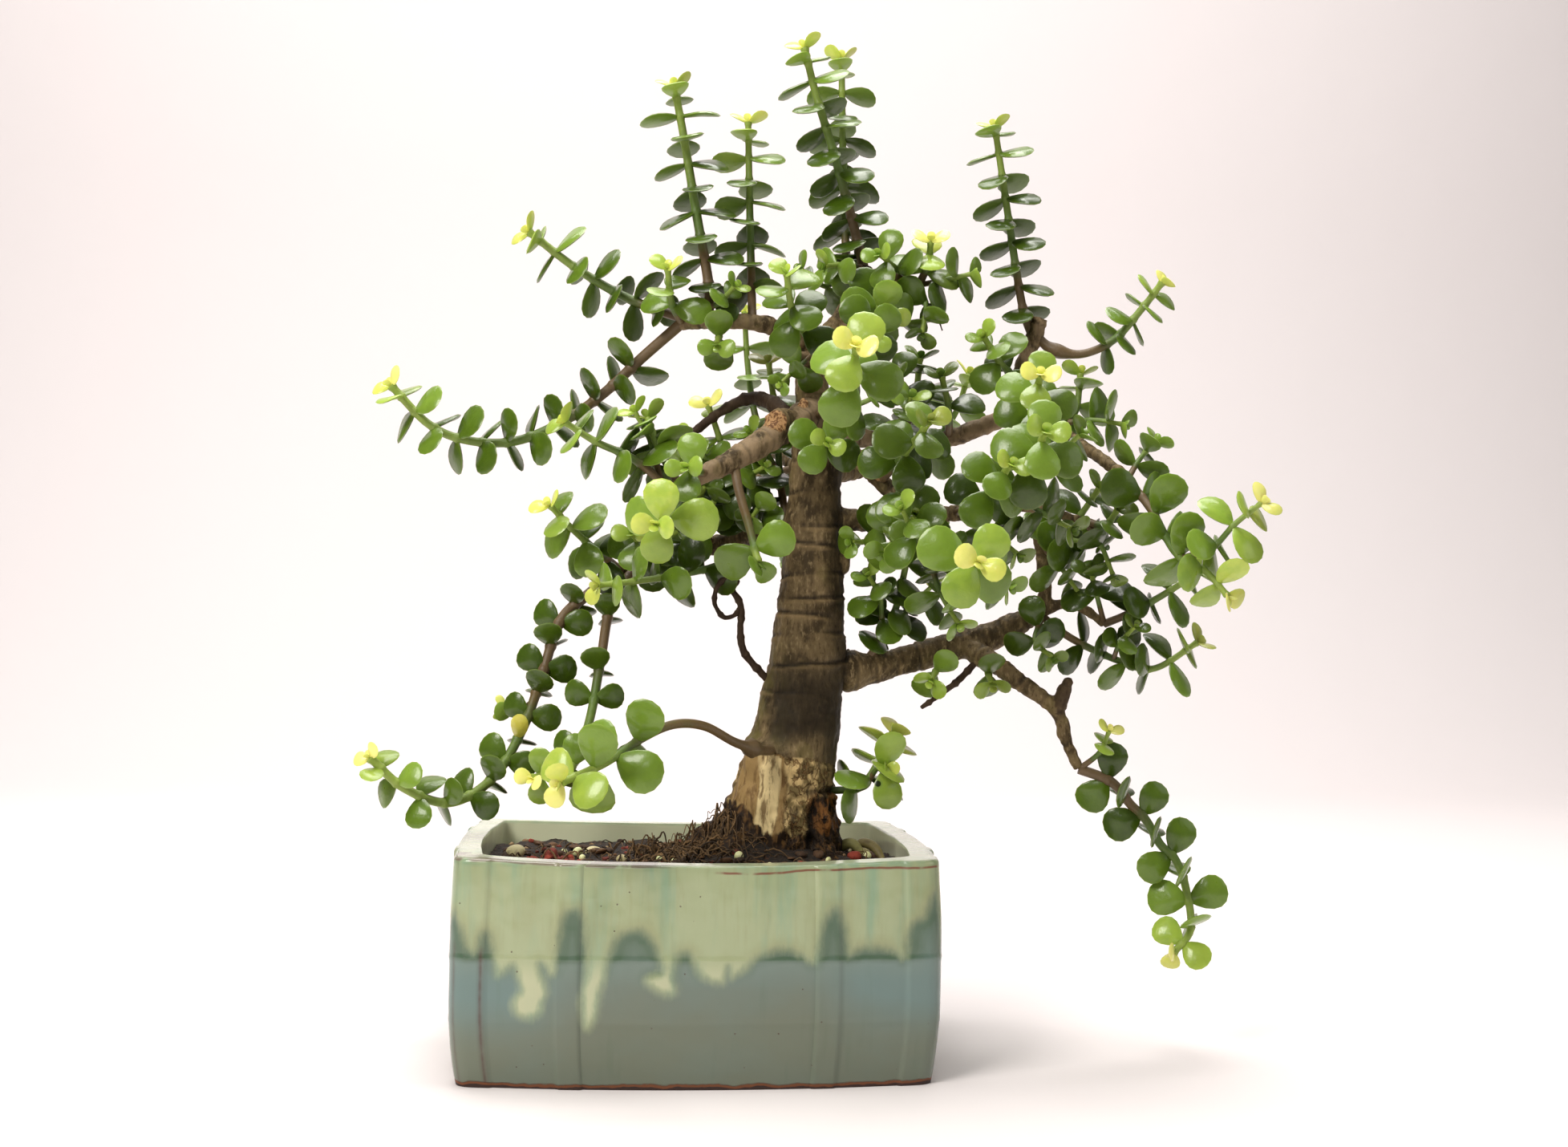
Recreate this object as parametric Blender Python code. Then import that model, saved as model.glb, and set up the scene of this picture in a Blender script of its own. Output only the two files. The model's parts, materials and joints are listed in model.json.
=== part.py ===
"""A dwarf jade plant, grown as a small tree, in a bowed rectangular glazed pot.

The origin is the middle of the pot's underside, +Z is up and the pot's front faces -Y.
All sizes below are millimetres, and MM turns them into Blender's metres.
Wood and shoots follow routes of hand-chosen points. Leaves are placed along each shoot by one rule:
opposite pairs, each turned a quarter from the last, and each bent clear of whatever it would touch.
"""

import math
import random
from dataclasses import dataclass

import bmesh
import bpy
import numpy as np
from mathutils import Matrix, Vector
from mathutils.bvhtree import BVHTree

MM = 0.001
GAP = 0.3

# Pot

POT_WIDTH = 178.0
POT_DEPTH = 150.0
POT_HEIGHT = 82.7
BELLY_HEIGHT = 34.0
FOOT_DRAW_IN = 0.035
RIM_DRAW_IN = 0.015
FRONT_BOW = 8.0
SIDE_BOW = 4.0
RIM_DIP = 1.8
WALL = 9.0
FLOOR = 9.0
CORNER = 0.055
RIM_DIP_FROM = 60.0
LIP_DROP = (1.5, 0.45)
LIP_ROUND = 1.5
INNER_FLARE = 0.35
RIB_HEIGHT = 0.9
RIB_HALF = 4.0
RIB_SLOPE = 0.9
FRONT_RIB = 47.5
SIDE_RIB = 38.0
CORNER_BAND = 12.5
FOOT_RECESS = 3.0
FOOT_RING = 12.0
FOOT_BAR = 24.0
DRAIN_RADIUS = 6.0
DRAIN_AT = 42.0
SCREEN_SIDE = 22.0
SCREEN_THICK = 1.0
SCREEN_HOLE = 7.0
SCREEN_PITCH = 9.6

# Where the inside of the pot and the soil against it are cut, as shares of their half width and depth
INSIDE_COLUMNS = (-0.75, -0.5, -0.25, 0.0, 0.25, 0.5, 0.75)
INSIDE_ROWS = (-0.67, -0.33, 0.0, 0.33, 0.67)

# Soil

SOIL_LEVEL = 73.0
MOUND = (28.0, -4.0, 12.0, 32.0, 30.0)
CLUMP = (14.0, -6.0, 8.0, 9.0, 12.0)
SOIL_RIPPLE = 0.8

# Grit on the soil: x, y and radius of each pebble, and x, y of each fertiliser bead
PEBBLES = (
    (-71, 10, 4.6), (-56, 2, 3.6), (-28, -12, 2.8), (69, 12, 5.0), (64, -14, 3.0), (-40, 30, 3.4),
    (10, 48, 4.0), (-62, -38, 3.4),
)
BEADS = ((-46, 10), (-13, -21), (-8, -24), (-3, 44), (17, -32))
BEAD_RADIUS = 1.9
PEBBLE_SQUASH = 0.65
GRIT_STANDS_UP = 0.25

# Wood and stems: how far their few-sided tubes may stray from the smooth route

WOOD_TOLERANCE = 1.0
STEM_TOLERANCE = 0.8
STEM_SIDES = 4
STEM_END = 0.55
ROUTE_SAMPLE = 0.5

# Leaf, as shares of its length from the middle of its stem

BLADE_WIDTH = 0.52
STALK_PINCH = 0.42
RING_REACH = 0.9
HALF_THICKNESS = 0.06
TIP_CURL = 0.05
BLADE_MIDDLE = 0.62
STALK_SHARE = 0.2
LEAF_SIDES = 6
CLEARANCE = 0.45
TIP_SIZES = (0.55, 0.85, 1.0)
TIP_LIFTS = (34.0, 8.0, -6.0, -14.0, -18.0)
LEAN_SHARES = (0.2, 1.6)

# A leaf that would touch something tries these in turn: lift, swing (degrees) and size
BENDS = (
    (0, 0, 1.0), (16, 0, 1.0), (-16, 0, 1.0), (0, 18, 1.0), (0, -18, 1.0),
    (30, 0, 0.95), (-30, 0, 0.95), (0, 34, 0.92), (0, -34, 0.92), (18, 20, 0.9),
    (18, -20, 0.9), (0, 0, 0.78), (30, 25, 0.78), (30, -25, 0.78), (45, 0, 0.7), (0, 0, 0.6),
)

VIEW = np.array([0.0, 1.0, 0.0])
UP = np.array([0.0, 0.0, 1.0])
LIGHT = np.array([0.0, -1.0, 0.35])


@dataclass(frozen=True)
class Limb:
    """Wood that grew as one with the trunk. Each point is x, y, z and the radius there."""

    name: str
    sides: int
    points: tuple


@dataclass(frozen=True)
class Shoot:
    """A green stem with its leaf pairs.

    It leaves its parent at a share of the parent's length and then follows its own route.
    Pairs stand one step apart from the tip down to the bare length. The phase turns the end pair
    round the stem, and turn swings the blades' faces towards the light. Lean then tilts them
    to the front or the back, whichever they face more. Where skip is 2, every second pair is
    left out, and so on; 0 keeps them all.
    """

    name: str
    parent: str
    share: float
    route: tuple
    radius: float = 1.5
    step: float = 9.5
    tip_step: float = 5.5
    bare: float = 9.0
    phase: float = 0.0
    lift: float = 0.0
    leaf: float = 16.0
    turn: float = 0.0
    lean: float = 0.4
    skip: int = 0


LIMBS = (
    Limb("trunk", 12, (
        (34, 0, 44, 15), (34, 0, 56, 22), (35, 0, 70, 25.3), (36, 0, 84, 23), (36, 0, 97, 21.4),
        (38, 0, 110, 19.5), (41, 0, 123, 17.8), (43, 0, 136, 16.9), (45, 0, 149, 15.9),
        (46, 0, 162, 15.3), (46.6, 0, 178, 13.5), (47.3, 0, 195, 12.3), (47.2, 0, 211, 11.9),
        (47.8, 0, 227, 10.6), (48, 0, 244, 10.1), (48, 0, 256, 8.8),
    )),
    Limb("leader", 6, (
        (48, 0, 252, 8.4), (46, 3, 270, 6.5), (50, 6, 282, 5.9), (60, 10, 295, 5.3),
        (66, 10, 307, 4.6), (68, 10, 318, 3.9),
    )),
    Limb("crown_left", 6, (
        (52, 6, 283, 4.6), (38, 0, 286, 4.2), (27, -4, 290, 3.6), (9, -6, 291, 3.2),
        (-8, 0, 290, 2.9),
    )),
    Limb("sawn_left", 6, (
        (47, -2, 255, 7.1), (36, -20, 248, 6), (20, -35, 237, 5), (4, -46, 227, 3.7),
        (-12, -52, 219, 2.7),
    )),
    Limb("dead_left", 6, (
        (38, -15, 249, 3.2), (30, -4, 258, 3.2), (21, 4, 261, 2.6), (10, 6, 256, 2),
        (-3, 6, 246, 1.6), (-16, 6, 238, 1.1),
    )),
    Limb("low_left", 6, (
        (44, 6, 206, 5.5), (25, 26, 206, 4), (5, 34, 201, 3.7), (-15, 34, 196, 3),
        (-32, 32, 190, 2.7),
    )),
    Limb("heavy_right", 8, (
        (50, 0, 150, 7.8), (70, 6, 151, 6.5), (88, 10, 155, 5.9), (108, 12, 161, 6.3),
        (125, 12, 166, 5.9), (139, 10, 174, 4.3), (145, 8, 183, 2.9), (144, 10, 197, 2.6),
        (141, 12, 212, 2.3),
    )),
    Limb("heavy_fork", 6, (
        (139, 10, 174, 2.9), (152, 6, 179, 2.3), (160, 3, 177, 2), (168, 0, 171, 1.7),
    )),
    Limb("low_right", 6, (
        (111, 11, 162, 4.9), (124, 0, 153, 4.2), (136, -6, 144, 3.5), (147, -8, 135, 2.9),
        (151, -8, 123, 2.6), (156, -9, 112, 2.2),
    )),
    Limb("mid_right", 6, (
        (52, 3, 213, 4.8), (78, -4, 211, 3.9), (100, -14, 214, 3.5), (121, -20, 218, 2.8),
        (137, -22, 216, 2.2), (154, -22, 212, 1.6),
    )),
    Limb("drop_right", 6, (
        (50, -4, 247, 4.4), (65, -16, 234, 3.8), (78, -26, 218, 3.1), (87, -32, 199, 2.5),
    )),
    Limb("high_right", 6, (
        (49, 6, 245, 5), (75, 24, 248, 4.3), (99, 26, 247, 3.7), (117, 22, 252, 3.7),
        (130, 16, 259, 3.6), (135, 12, 275, 4), (142, 10, 298, 3.3),
    )),
    Limb("high_fork", 6, (
        (129, 17, 258, 3.2), (145, 2, 252, 2.6), (160, -20, 238, 2.5), (168, -36, 228, 2.2),
    )),
    Limb("crown_right", 6, (
        (66, 10, 312, 3.6), (78, 0, 312, 2.9), (89, -8, 307, 1.9),
    )),
    Limb("back_left", 6, (
        (48, 8, 222, 4.6), (46, 50, 236, 3.4), (38, 84, 246, 2.5),
    )),
    Limb("back_right", 6, (
        (51, 6, 230, 4.4), (75, 50, 237, 3.4), (97, 78, 243, 2.5),
    )),
    Limb("sawn_knot", 6, (
        (34, -22, 249, 5.2), (29, -30, 248, 5),
    )),
    Limb("stub_top", 6, (
        (46, -2, 254, 3.2), (41, -17, 257, 2.4),
    )),
    Limb("stub_leader", 6, (
        (47, 3, 277, 3), (39, -8, 277, 2.3),
    )),
    Limb("bark_flap", 6, (
        (147, -8, 133, 2.6), (149, -10, 143, 3), (151, -10, 149, 1.4),
    )),
    Limb("stub_drop", 6, (
        (66, -17, 233, 3.2), (70, -27, 229, 3),
    )),
    Limb("trunk_knob", 6, (
        (50, 0, 195, 8), (62, -2, 194, 3.5),
    )),
    Limb("dead_loop", 4, (
        (31, 0, 145, 1.5), (20, -2, 157, 1.4), (18, -4, 167, 1.3), (18, -4, 176, 1.3),
        (12, 4, 188, 1.3), (12, 28, 201, 1.3),
    )),
    Limb("dead_twig", 4, (
        (118, 6, 157, 1.5), (107, 3, 146, 1.3), (92, -4, 136, 0.9),
    )),
    Limb("root_front_left", 4, (
        (36, 0, 86, 12), (16, -18, 75, 7), (4, -30, 62, 3),
    )),
    Limb("root_front_right", 4, (
        (40, -4, 82, 12), (56, -20, 70, 6), (64, -30, 60, 3),
    )),
    Limb("root_left", 4, (
        (30, 0, 88, 12), (8, 0, 77, 8), (-12, -3, 64, 4),
    )),
    Limb("root_back_left", 4, (
        (30, 5, 84, 12), (12, 22, 72, 7), (2, 34, 62, 3),
    )),
    Limb("root_back_right", 4, (
        (42, 4, 82, 12), (58, 20, 70, 6), (68, 32, 60, 3),
    )),
)

SHOOTS = (
    # Upright shoots of the crown
    Shoot("crown_01", "crown_left", 0.81, (
        (3, -4, 306), (-2, -4, 333), (-8, -4, 366), (-12, -4, 386),
    ), radius=1.9, step=9.8, tip_step=4, bare=12, skip=3),
    Shoot("crown_02", "crown_left", 0.53, (
        (21, 6, 310), (20, 10, 344), (19, 10, 376),
    ), radius=1.6, step=9, tip_step=7, bare=14, phase=20, skip=3),
    Shoot("crown_03", "leader", 0.98, (
        (62, 8, 338), (54, 4, 363), (46, 2, 387), (41, 0, 405),
    ), radius=1.9, step=9.6, bare=6, phase=35, skip=3),
    Shoot("crown_04", "leader", 0.76, (
        (62, 24, 325), (61, 32, 367), (60, 34, 411),
    ), radius=1.7, step=10.4, bare=24, phase=10, skip=3),
    Shoot("crown_05", "high_right", 0.93, (
        (135, 10, 301), (131, 8, 320), (126, 6, 348), (121, 4, 376),
    ), radius=1.7, step=9.2, tip_step=3, bare=12, phase=40, skip=3),
    Shoot("crown_06", "high_right", 0.95, (
        (147, 8, 285), (159, 6, 283), (172, 4, 289), (183, 0, 302), (190, -4, 312),
    ), radius=1.7, step=7.4, bare=28, phase=60, leaf=13.5, skip=2),
    Shoot("crown_07", "crown_right", 0.97, (
        (91, -14, 315), (91, -20, 323),
    ), bare=5, phase=10),
    Shoot("crown_08", "leader", 0.38, (
        (41, -28, 282), (33, -52, 289), (30, -60, 301),
    ), bare=40, phase=60, skip=2),
    Shoot("crown_09", "crown_left", 0.98, (
        (-12, -16, 296), (-14, -24, 308),
    ), tip_step=8, bare=8, phase=32, skip=2),
    Shoot("crown_10", "crown_left", 0.72, (
        (6, -22, 279),
    ), bare=12, turn=0.7),
    # Left side
    Shoot("left_01", "crown_left", 0.88, (
        (-20, 4, 297), (-35, 8, 304), (-52, 8, 314), (-70, 6, 327),
    ), radius=1.9, bare=16, phase=20, skip=3),
    Shoot("left_02", "crown_left", 1, (
        (-23, 6, 277), (-39, 10, 262), (-56, 12, 250), (-75, 12, 242), (-94, 10, 242),
        (-109, 8, 248), (-124, 6, 263),
    ), radius=2.1, step=10, bare=20, phase=35, turn=0.35, skip=3),
    Shoot("left_03", "sawn_left", 1, (
        (-26, -54, 230), (-40, -56, 236), (-52, -58, 243),
    ), bare=10, phase=30, skip=2),
    Shoot("left_04", "sawn_left", 0.95, (
        (-17, -48, 235), (-21, -44, 247),
    ), bare=8, phase=32, skip=2),
    Shoot("left_05", "sawn_left", 0.82, (
        (-7, -70, 226),
    ), bare=14, skip=2),
    Shoot("left_06", "low_left", 0.35, (
        (15, 18, 226), (9, 10, 245), (4, 6, 258),
    ), step=10.5, bare=14, phase=15, skip=2),
    Shoot("left_07", "low_left", 0.09, (
        (35, 18, 228), (33, 16, 252), (29, 12, 277),
    ), step=10.5, bare=16, skip=2),
    Shoot("left_08", "sawn_left", 0.88, (
        (-11, -68, 209), (-18, -88, 204),
    ), step=12, bare=24, phase=10, leaf=18.5),
    Shoot("left_09", "low_left", 0.98, (
        (-39, 14, 197), (-49, 0, 205), (-59, -8, 215),
    ), phase=30, skip=2),
    Shoot("left_10", "low_left", 1, (
        (-43, 28, 181), (-55, 22, 169), (-62, 14, 146), (-69, 6, 125), (-80, -4, 106),
        (-96, -12, 97), (-113, -18, 103), (-126, -22, 115),
    ), radius=2.1, step=10.5, bare=18, phase=35, turn=0.6, skip=3, leaf=13.5),
    Shoot("left_10_side", "left_10", 0.42, (
        (-72, 18, 132), (-78, 22, 133),
    ), radius=1, bare=7, leaf=11, skip=2),
    Shoot("left_11", "low_left", 0.9, (
        (-34, 22, 177), (-38, 6, 153), (-42, -8, 129), (-48, -30, 113), (-62, -56, 110),
    ), radius=1.9, step=13, bare=24, phase=10, turn=0.5, skip=3, leaf=13),
    Shoot("left_12", "trunk", 0.36, (
        (28, -20, 119), (15, -40, 123), (2, -54, 130), (-10, -64, 131), (-22, -72, 126),
        (-35, -86, 118), (-50, -100, 112),
    ), radius=1.8, step=12, bare=96, phase=45, turn=0.75, skip=3, leaf=18.5),
    Shoot("left_13", "sawn_left", 0.66, (
        (14, -46, 220), (18, -52, 205), (21, -58, 192),
    ), radius=1.8, bare=34, phase=60, turn=0.7, leaf=19.5),
    Shoot("left_14", "low_left", 0.18, (
        (10, 4, 193), (-13, -12, 187), (-39, -22, 183),
    ), step=11, bare=34, phase=30, skip=2),
    Shoot("left_15", "low_left", 0.53, (
        (0, 14, 214), (3, 4, 225),
    ), bare=12, skip=2),
    Shoot("left_16", "low_left", 0.75, (
        (-18, 14, 197), (-26, -6, 204),
    ), bare=14, skip=2),
    # Right side
    Shoot("right_01", "low_right", 1, (
        (169, -10, 107), (177, -10, 98), (183, -11, 92), (189, -12, 82), (195, -13, 76),
        (199, -14, 65), (200, -18, 49), (192, -22, 40),
    ), radius=1.8, step=10, bare=6, phase=65, turn=0.85, skip=3),
    Shoot("right_01_side", "right_01", 0, (
        (163, -14, 119), (166, -18, 128),
    ), radius=1.1, leaf=12),
    Shoot("right_02", "high_fork", 1, (
        (175, -48, 214), (182, -56, 198), (192, -62, 191), (199, -66, 182),
    ), step=10, bare=6, phase=45, turn=0.5, skip=3, leaf=17.5),
    Shoot("right_02_side", "right_02", 0.65, (
        (194, -62, 200), (201, -68, 209), (210, -72, 217),
    ), radius=1.2, bare=12, phase=30, turn=0.3),
    Shoot("right_03", "heavy_fork", 1, (
        (176, -6, 175), (187, -14, 182), (201, -22, 192),
    ), phase=30, skip=2),
    Shoot("right_04", "heavy_right", 0.72, (
        (155, 4, 165), (174, 0, 156), (188, -4, 153), (205, -8, 164),
    ), bare=16, phase=30, turn=0.3, skip=2),
    Shoot("right_05", "drop_right", 1, (
        (92, -80, 191), (94, -118, 191),
    ), step=13, bare=60, phase=25, leaf=19.5),
    Shoot("right_06", "mid_right", 0.68, (
        (121, -66, 227), (121, -100, 239),
    ), step=11, bare=50, phase=10, leaf=18.5),
    Shoot("right_07", "high_right", 0.68, (
        (128, -40, 250), (124, -76, 263),
    ), step=11, bare=56, phase=10, skip=2),
    Shoot("right_08", "high_fork", 0.3, (
        (156, 6, 258), (159, 8, 275),
    ), skip=2),
    Shoot("right_09", "high_right", 0.8, (
        (123, -6, 276), (114, -14, 286),
    ), bare=12, skip=2),
    Shoot("right_10", "high_right", 0.48, (
        (104, 10, 259), (100, 4, 272),
    ), bare=12, skip=2),
    Shoot("right_11", "high_right", 0.33, (
        (92, 26, 264), (94, 24, 282),
    ), bare=12, skip=2),
    Shoot("right_12", "drop_right", 0.51, (
        (76, -60, 234), (82, -80, 244),
    ), bare=30, skip=2),
    Shoot("right_13", "mid_right", 0.51, (
        (106, -58, 218), (111, -88, 228),
    ), bare=36, phase=30, skip=2),
    Shoot("right_14", "mid_right", 0.27, (
        (81, -34, 208), (80, -60, 211),
    ), bare=28, phase=20, skip=2),
    Shoot("right_15", "heavy_right", 0.14, (
        (80, 2, 171), (85, -4, 194), (87, -10, 208),
    ), step=11, bare=14, phase=20, skip=2),
    Shoot("right_16", "mid_right", 1, (
        (161, -28, 210), (165, -32, 216),
    ), bare=6, skip=2),
    Shoot("right_17", "trunk", 0.27, (
        (66, -4, 103), (72, -6, 110), (80, -6, 126),
    ), step=8, bare=26, phase=60, leaf=17.5),
    Shoot("right_18", "heavy_right", 0.42, (
        (96, -4, 147),
    ), bare=10),
    Shoot("right_19", "low_right", 0.15, (
        (120, -8, 146),
    ), bare=10),
    Shoot("right_20", "heavy_right", 0.94, (
        (154, -2, 212), (163, -10, 226),
    ), bare=8, phase=25, skip=3),
    # Towards the front
    Shoot("front_01", "leader", 0.02, (
        (48, -52, 253), (52, -92, 258), (50, -116, 266),
    ), step=11, bare=84, phase=20, leaf=18.5),
    Shoot("front_02", "trunk", 0.91, (
        (48, -30, 239), (48, -44, 239),
    ), bare=24, phase=30, skip=2),
    Shoot("front_03", "leader", 0.77, (
        (69, -14, 298), (73, -32, 290),
    ), bare=20, skip=2),
    Shoot("front_04", "leader", 0.61, (
        (64, -24, 287), (66, -44, 281),
    ), bare=24, phase=45, skip=2),
    # Towards the back
    Shoot("back_01", "back_left", 1, (
        (30, 96, 262), (26, 100, 286), (24, 100, 312),
    ), step=13, bare=12, skip=2),
    Shoot("back_02", "back_left", 0.6, (
        (20, 70, 232), (4, 84, 236), (-8, 92, 246),
    ), bare=14, skip=2, step=13),
    Shoot("back_03", "back_right", 1, (
        (110, 90, 252), (122, 98, 268), (128, 100, 286),
    ), bare=12, skip=2, step=13),
    Shoot("back_04", "back_right", 0.62, (
        (92, 64, 222), (106, 74, 208), (112, 82, 194),
    ), bare=14, phase=45, skip=2, step=13),
    Shoot("back_05", "back_left", 0.45, (
        (52, 56, 214), (54, 76, 200), (50, 88, 186),
    ), bare=14, phase=45, skip=2, step=13),
)


def start_scene():
    """Removes what the file opens with and returns the collections of the model and of its cutters."""
    for old in list(bpy.data.objects):
        bpy.data.objects.remove(old, do_unlink=True)
    model = bpy.data.collections.new("potted_dwarf_jade")
    cutters = bpy.data.collections.new("cutters")
    bpy.context.scene.collection.children.link(model)
    bpy.context.scene.collection.children.link(cutters)
    cutters.hide_render = True
    return model, cutters


def make_material(name, colour, roughness):
    material = bpy.data.materials.new(name)
    material.use_nodes = True
    shader = material.node_tree.nodes["Principled BSDF"]
    shader.inputs["Base Color"].default_value = (*colour, 1.0)
    shader.inputs["Roughness"].default_value = roughness
    shader.inputs["Metallic"].default_value = 0.0
    return material


def make_object(name, bm, collection, material=None):
    """An object of its own from a bmesh in millimetres."""
    bmesh.ops.recalc_face_normals(bm, faces=bm.faces[:])
    bmesh.ops.scale(bm, vec=(MM, MM, MM), verts=bm.verts[:])
    mesh = bpy.data.meshes.new(name)
    bm.to_mesh(mesh)
    bm.free()
    made = bpy.data.objects.new(name, mesh)
    collection.objects.link(made)
    if material:
        mesh.materials.append(material)
    else:
        made.display_type = "WIRE"
    return made


def apply_boolean(target, operation, others):
    """One Boolean with all the others, which are then removed."""
    group = bpy.data.collections.new(target.name + "_others")
    bpy.context.scene.collection.children.link(group)
    for other in others:
        group.objects.link(other)
    change = target.modifiers.new(operation.lower(), "BOOLEAN")
    change.operation = operation
    change.operand_type = "COLLECTION"
    change.collection = group
    change.solver = "MANIFOLD"
    bpy.context.view_layer.update()
    graph = bpy.context.evaluated_depsgraph_get()
    joined = bpy.data.meshes.new_from_object(target.evaluated_get(graph))
    target.modifiers.clear()
    target.data = joined
    for other in list(group.objects):
        bpy.data.objects.remove(other, do_unlink=True)
    bpy.data.collections.remove(group)
    return target


def keep_largest_piece(target):
    """Drops the loose scraps that a cut can leave."""
    bm = bmesh.new()
    bm.from_mesh(target.data)
    bm.verts.ensure_lookup_table()
    seen = set()
    pieces = []
    for first in bm.verts:
        if first.index in seen:
            continue
        seen.add(first.index)
        piece = [first]
        for vert in piece:
            for edge in vert.link_edges:
                near = edge.other_vert(vert)
                if near.index not in seen:
                    seen.add(near.index)
                    piece.append(near)
        pieces.append(piece)
    pieces.sort(key=len, reverse=True)
    for scrap in pieces[1:]:
        bmesh.ops.delete(bm, geom=scrap, context="VERTS")
    bm.to_mesh(target.data)
    bm.free()


def unit(vector):
    return vector / np.linalg.norm(vector)


def curve_through(points, spacing):
    """Evenly spaced samples of the smooth curve through these points (Catmull-Rom)."""
    fixed = np.array(points, float)
    fixed = np.vstack([2 * fixed[0] - fixed[1], fixed, 2 * fixed[-1] - fixed[-2]])
    dense = []
    for a, b, c, d in zip(fixed, fixed[1:], fixed[2:], fixed[3:]):
        for t in np.linspace(0, 1, 16, endpoint=False):
            bend = (2 * a - 5 * b + 4 * c - d) * t**2 + (3 * b - a - 3 * c + d) * t**3
            dense.append(0.5 * (2 * b + (c - a) * t + bend))
    dense.append(fixed[-2])
    dense = np.array(dense)
    steps = np.linalg.norm(np.diff(dense[:, :3], axis=0), axis=1)
    run = np.concatenate([[0], np.cumsum(steps)])
    at = np.linspace(0, run[-1], max(2, round(run[-1] / spacing) + 1))
    columns = [np.interp(at, run, dense[:, k]) for k in range(dense.shape[1])]
    return np.stack(columns, axis=1)


def fewest_points(line, tolerance):
    """The samples that keep the curve, radius included, within the tolerance."""
    if len(line) < 3:
        return [line[0], line[-1]]
    share = np.linspace(0, 1, len(line))[:, None]
    off = np.linalg.norm(line - (line[0] + share * (line[-1] - line[0])), axis=1)
    farthest = int(off.argmax())
    if off[farthest] <= tolerance:
        return [line[0], line[-1]]
    return fewest_points(line[: farthest + 1], tolerance)[:-1] + fewest_points(line[farthest:], tolerance)


def make_tube(name, points, sides, collection, fatter=0.0):
    """A closed tube through x, y, z, radius points; fatter also lengthens both its ends."""
    points = np.array(points, float)
    points[0, :3] -= fatter * unit(points[1, :3] - points[0, :3])
    points[-1, :3] += fatter * unit(points[-1, :3] - points[-2, :3])
    curve = bpy.data.curves.new(name, "CURVE")
    curve.dimensions = "3D"
    curve.bevel_depth = MM
    curve.bevel_resolution = sides // 2 - 2
    curve.use_fill_caps = True
    spline = curve.splines.new("POLY")
    spline.points.add(len(points) - 1)
    for spot, (x, y, z, radius) in zip(spline.points, points):
        spot.co = (x * MM, y * MM, z * MM, 1.0)
        spot.radius = radius + fatter
    guide = bpy.data.objects.new(name + "_guide", curve)
    collection.objects.link(guide)
    bpy.context.view_layer.update()
    graph = bpy.context.evaluated_depsgraph_get()
    mesh = bpy.data.meshes.new_from_object(guide.evaluated_get(graph))
    bpy.data.objects.remove(guide, do_unlink=True)
    bpy.data.curves.remove(curve)
    bm = bmesh.new()
    bm.from_mesh(mesh)
    bmesh.ops.remove_doubles(bm, verts=bm.verts[:], dist=1e-6)
    bmesh.ops.recalc_face_normals(bm, faces=bm.faces[:])
    bm.to_mesh(mesh)
    bm.free()
    tube = bpy.data.objects.new(name, mesh)
    collection.objects.link(tube)
    return tube


def smooth_shade(target, degrees):
    target.data.shade_smooth()
    target.data.set_sharp_from_angle(angle=math.radians(degrees))


def belly(height):
    """How much of the pot's full size its sides keep at this height."""
    if height < BELLY_HEIGHT:
        return 1 - FOOT_DRAW_IN * ((BELLY_HEIGHT - height) / BELLY_HEIGHT) ** 2
    return 1 - RIM_DRAW_IN * ((height - BELLY_HEIGHT) / (POT_HEIGHT - BELLY_HEIGHT)) ** 2


def on_pot(across, back, height, inset):
    """The point at these shares (-1 to 1) of the pot's plan, inset from its outer face."""
    half_width = POT_WIDTH / 2 * belly(height) - inset
    half_depth = POT_DEPTH / 2 * belly(height) - inset
    x = across * (half_width + SIDE_BOW * (1 - back**2))
    y = back * (half_depth + FRONT_BOW * (1 - across**2))
    dip = RIM_DIP * (1 - across**2) * max(0.0, height - RIM_DIP_FROM) / (POT_HEIGHT - RIM_DIP_FROM)
    return Vector((x, y, height - dip))


def raised(distance):
    """1 on a rib, 0 off it, with short sloping edges."""
    return min(1.0, max(0.0, (RIB_HALF + RIB_SLOPE - abs(distance)) / RIB_SLOPE))


def relief(offset, half, rib):
    """The height of the ribs and corner bands at this offset along a face, as a share of RIB_HEIGHT."""
    band = min(1.0, max(0.0, (abs(offset) - (half - CORNER_BAND)) / RIB_SLOPE))
    return max(band, raised(abs(offset) - rib))


def unit_block(bottom, top, columns, rows, levels):
    """A block from -1 to 1 in plan with rounded upright edges, cut at these places."""
    bm = bmesh.new()
    bmesh.ops.create_cube(bm, size=2.0)
    for vert in bm.verts:
        vert.co.z = bottom if vert.co.z < 0 else top
    upright = [edge for edge in bm.edges if abs(edge.verts[0].co.z - edge.verts[1].co.z) > 1]
    bmesh.ops.bevel(
        bm, geom=upright, offset=CORNER, offset_type="OFFSET", segments=3, profile=0.5, affect="EDGES"
    )
    cuts = [((at, 0, 0), (1, 0, 0)) for at in columns]
    cuts += [((0, at, 0), (0, 1, 0)) for at in rows]
    cuts += [((0, 0, at), (0, 0, 1)) for at in levels]
    for place, normal in cuts:
        everything = bm.verts[:] + bm.edges[:] + bm.faces[:]
        bmesh.ops.bisect_plane(bm, geom=everything, plane_co=place, plane_no=normal)
    return bm


def join_flat_faces(bm, height):
    """One face in place of the strips that the cuts leave at this height."""
    flat = [face for face in bm.faces if all(abs(vert.co.z - height) < 1e-4 for vert in face.verts)]
    bmesh.ops.dissolve_faces(bm, faces=flat)


def rib_edges(rib, half):
    """Where a face is cut for its ribs and corner bands, as shares of its half length."""
    band = half - CORNER_BAND
    places = [rib - RIB_HALF - RIB_SLOPE, rib - RIB_HALF, rib + RIB_HALF, rib + RIB_HALF + RIB_SLOPE]
    places += [band, band + RIB_SLOPE]
    return [sign * place / half for place in places for sign in (-1, 1)]


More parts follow.
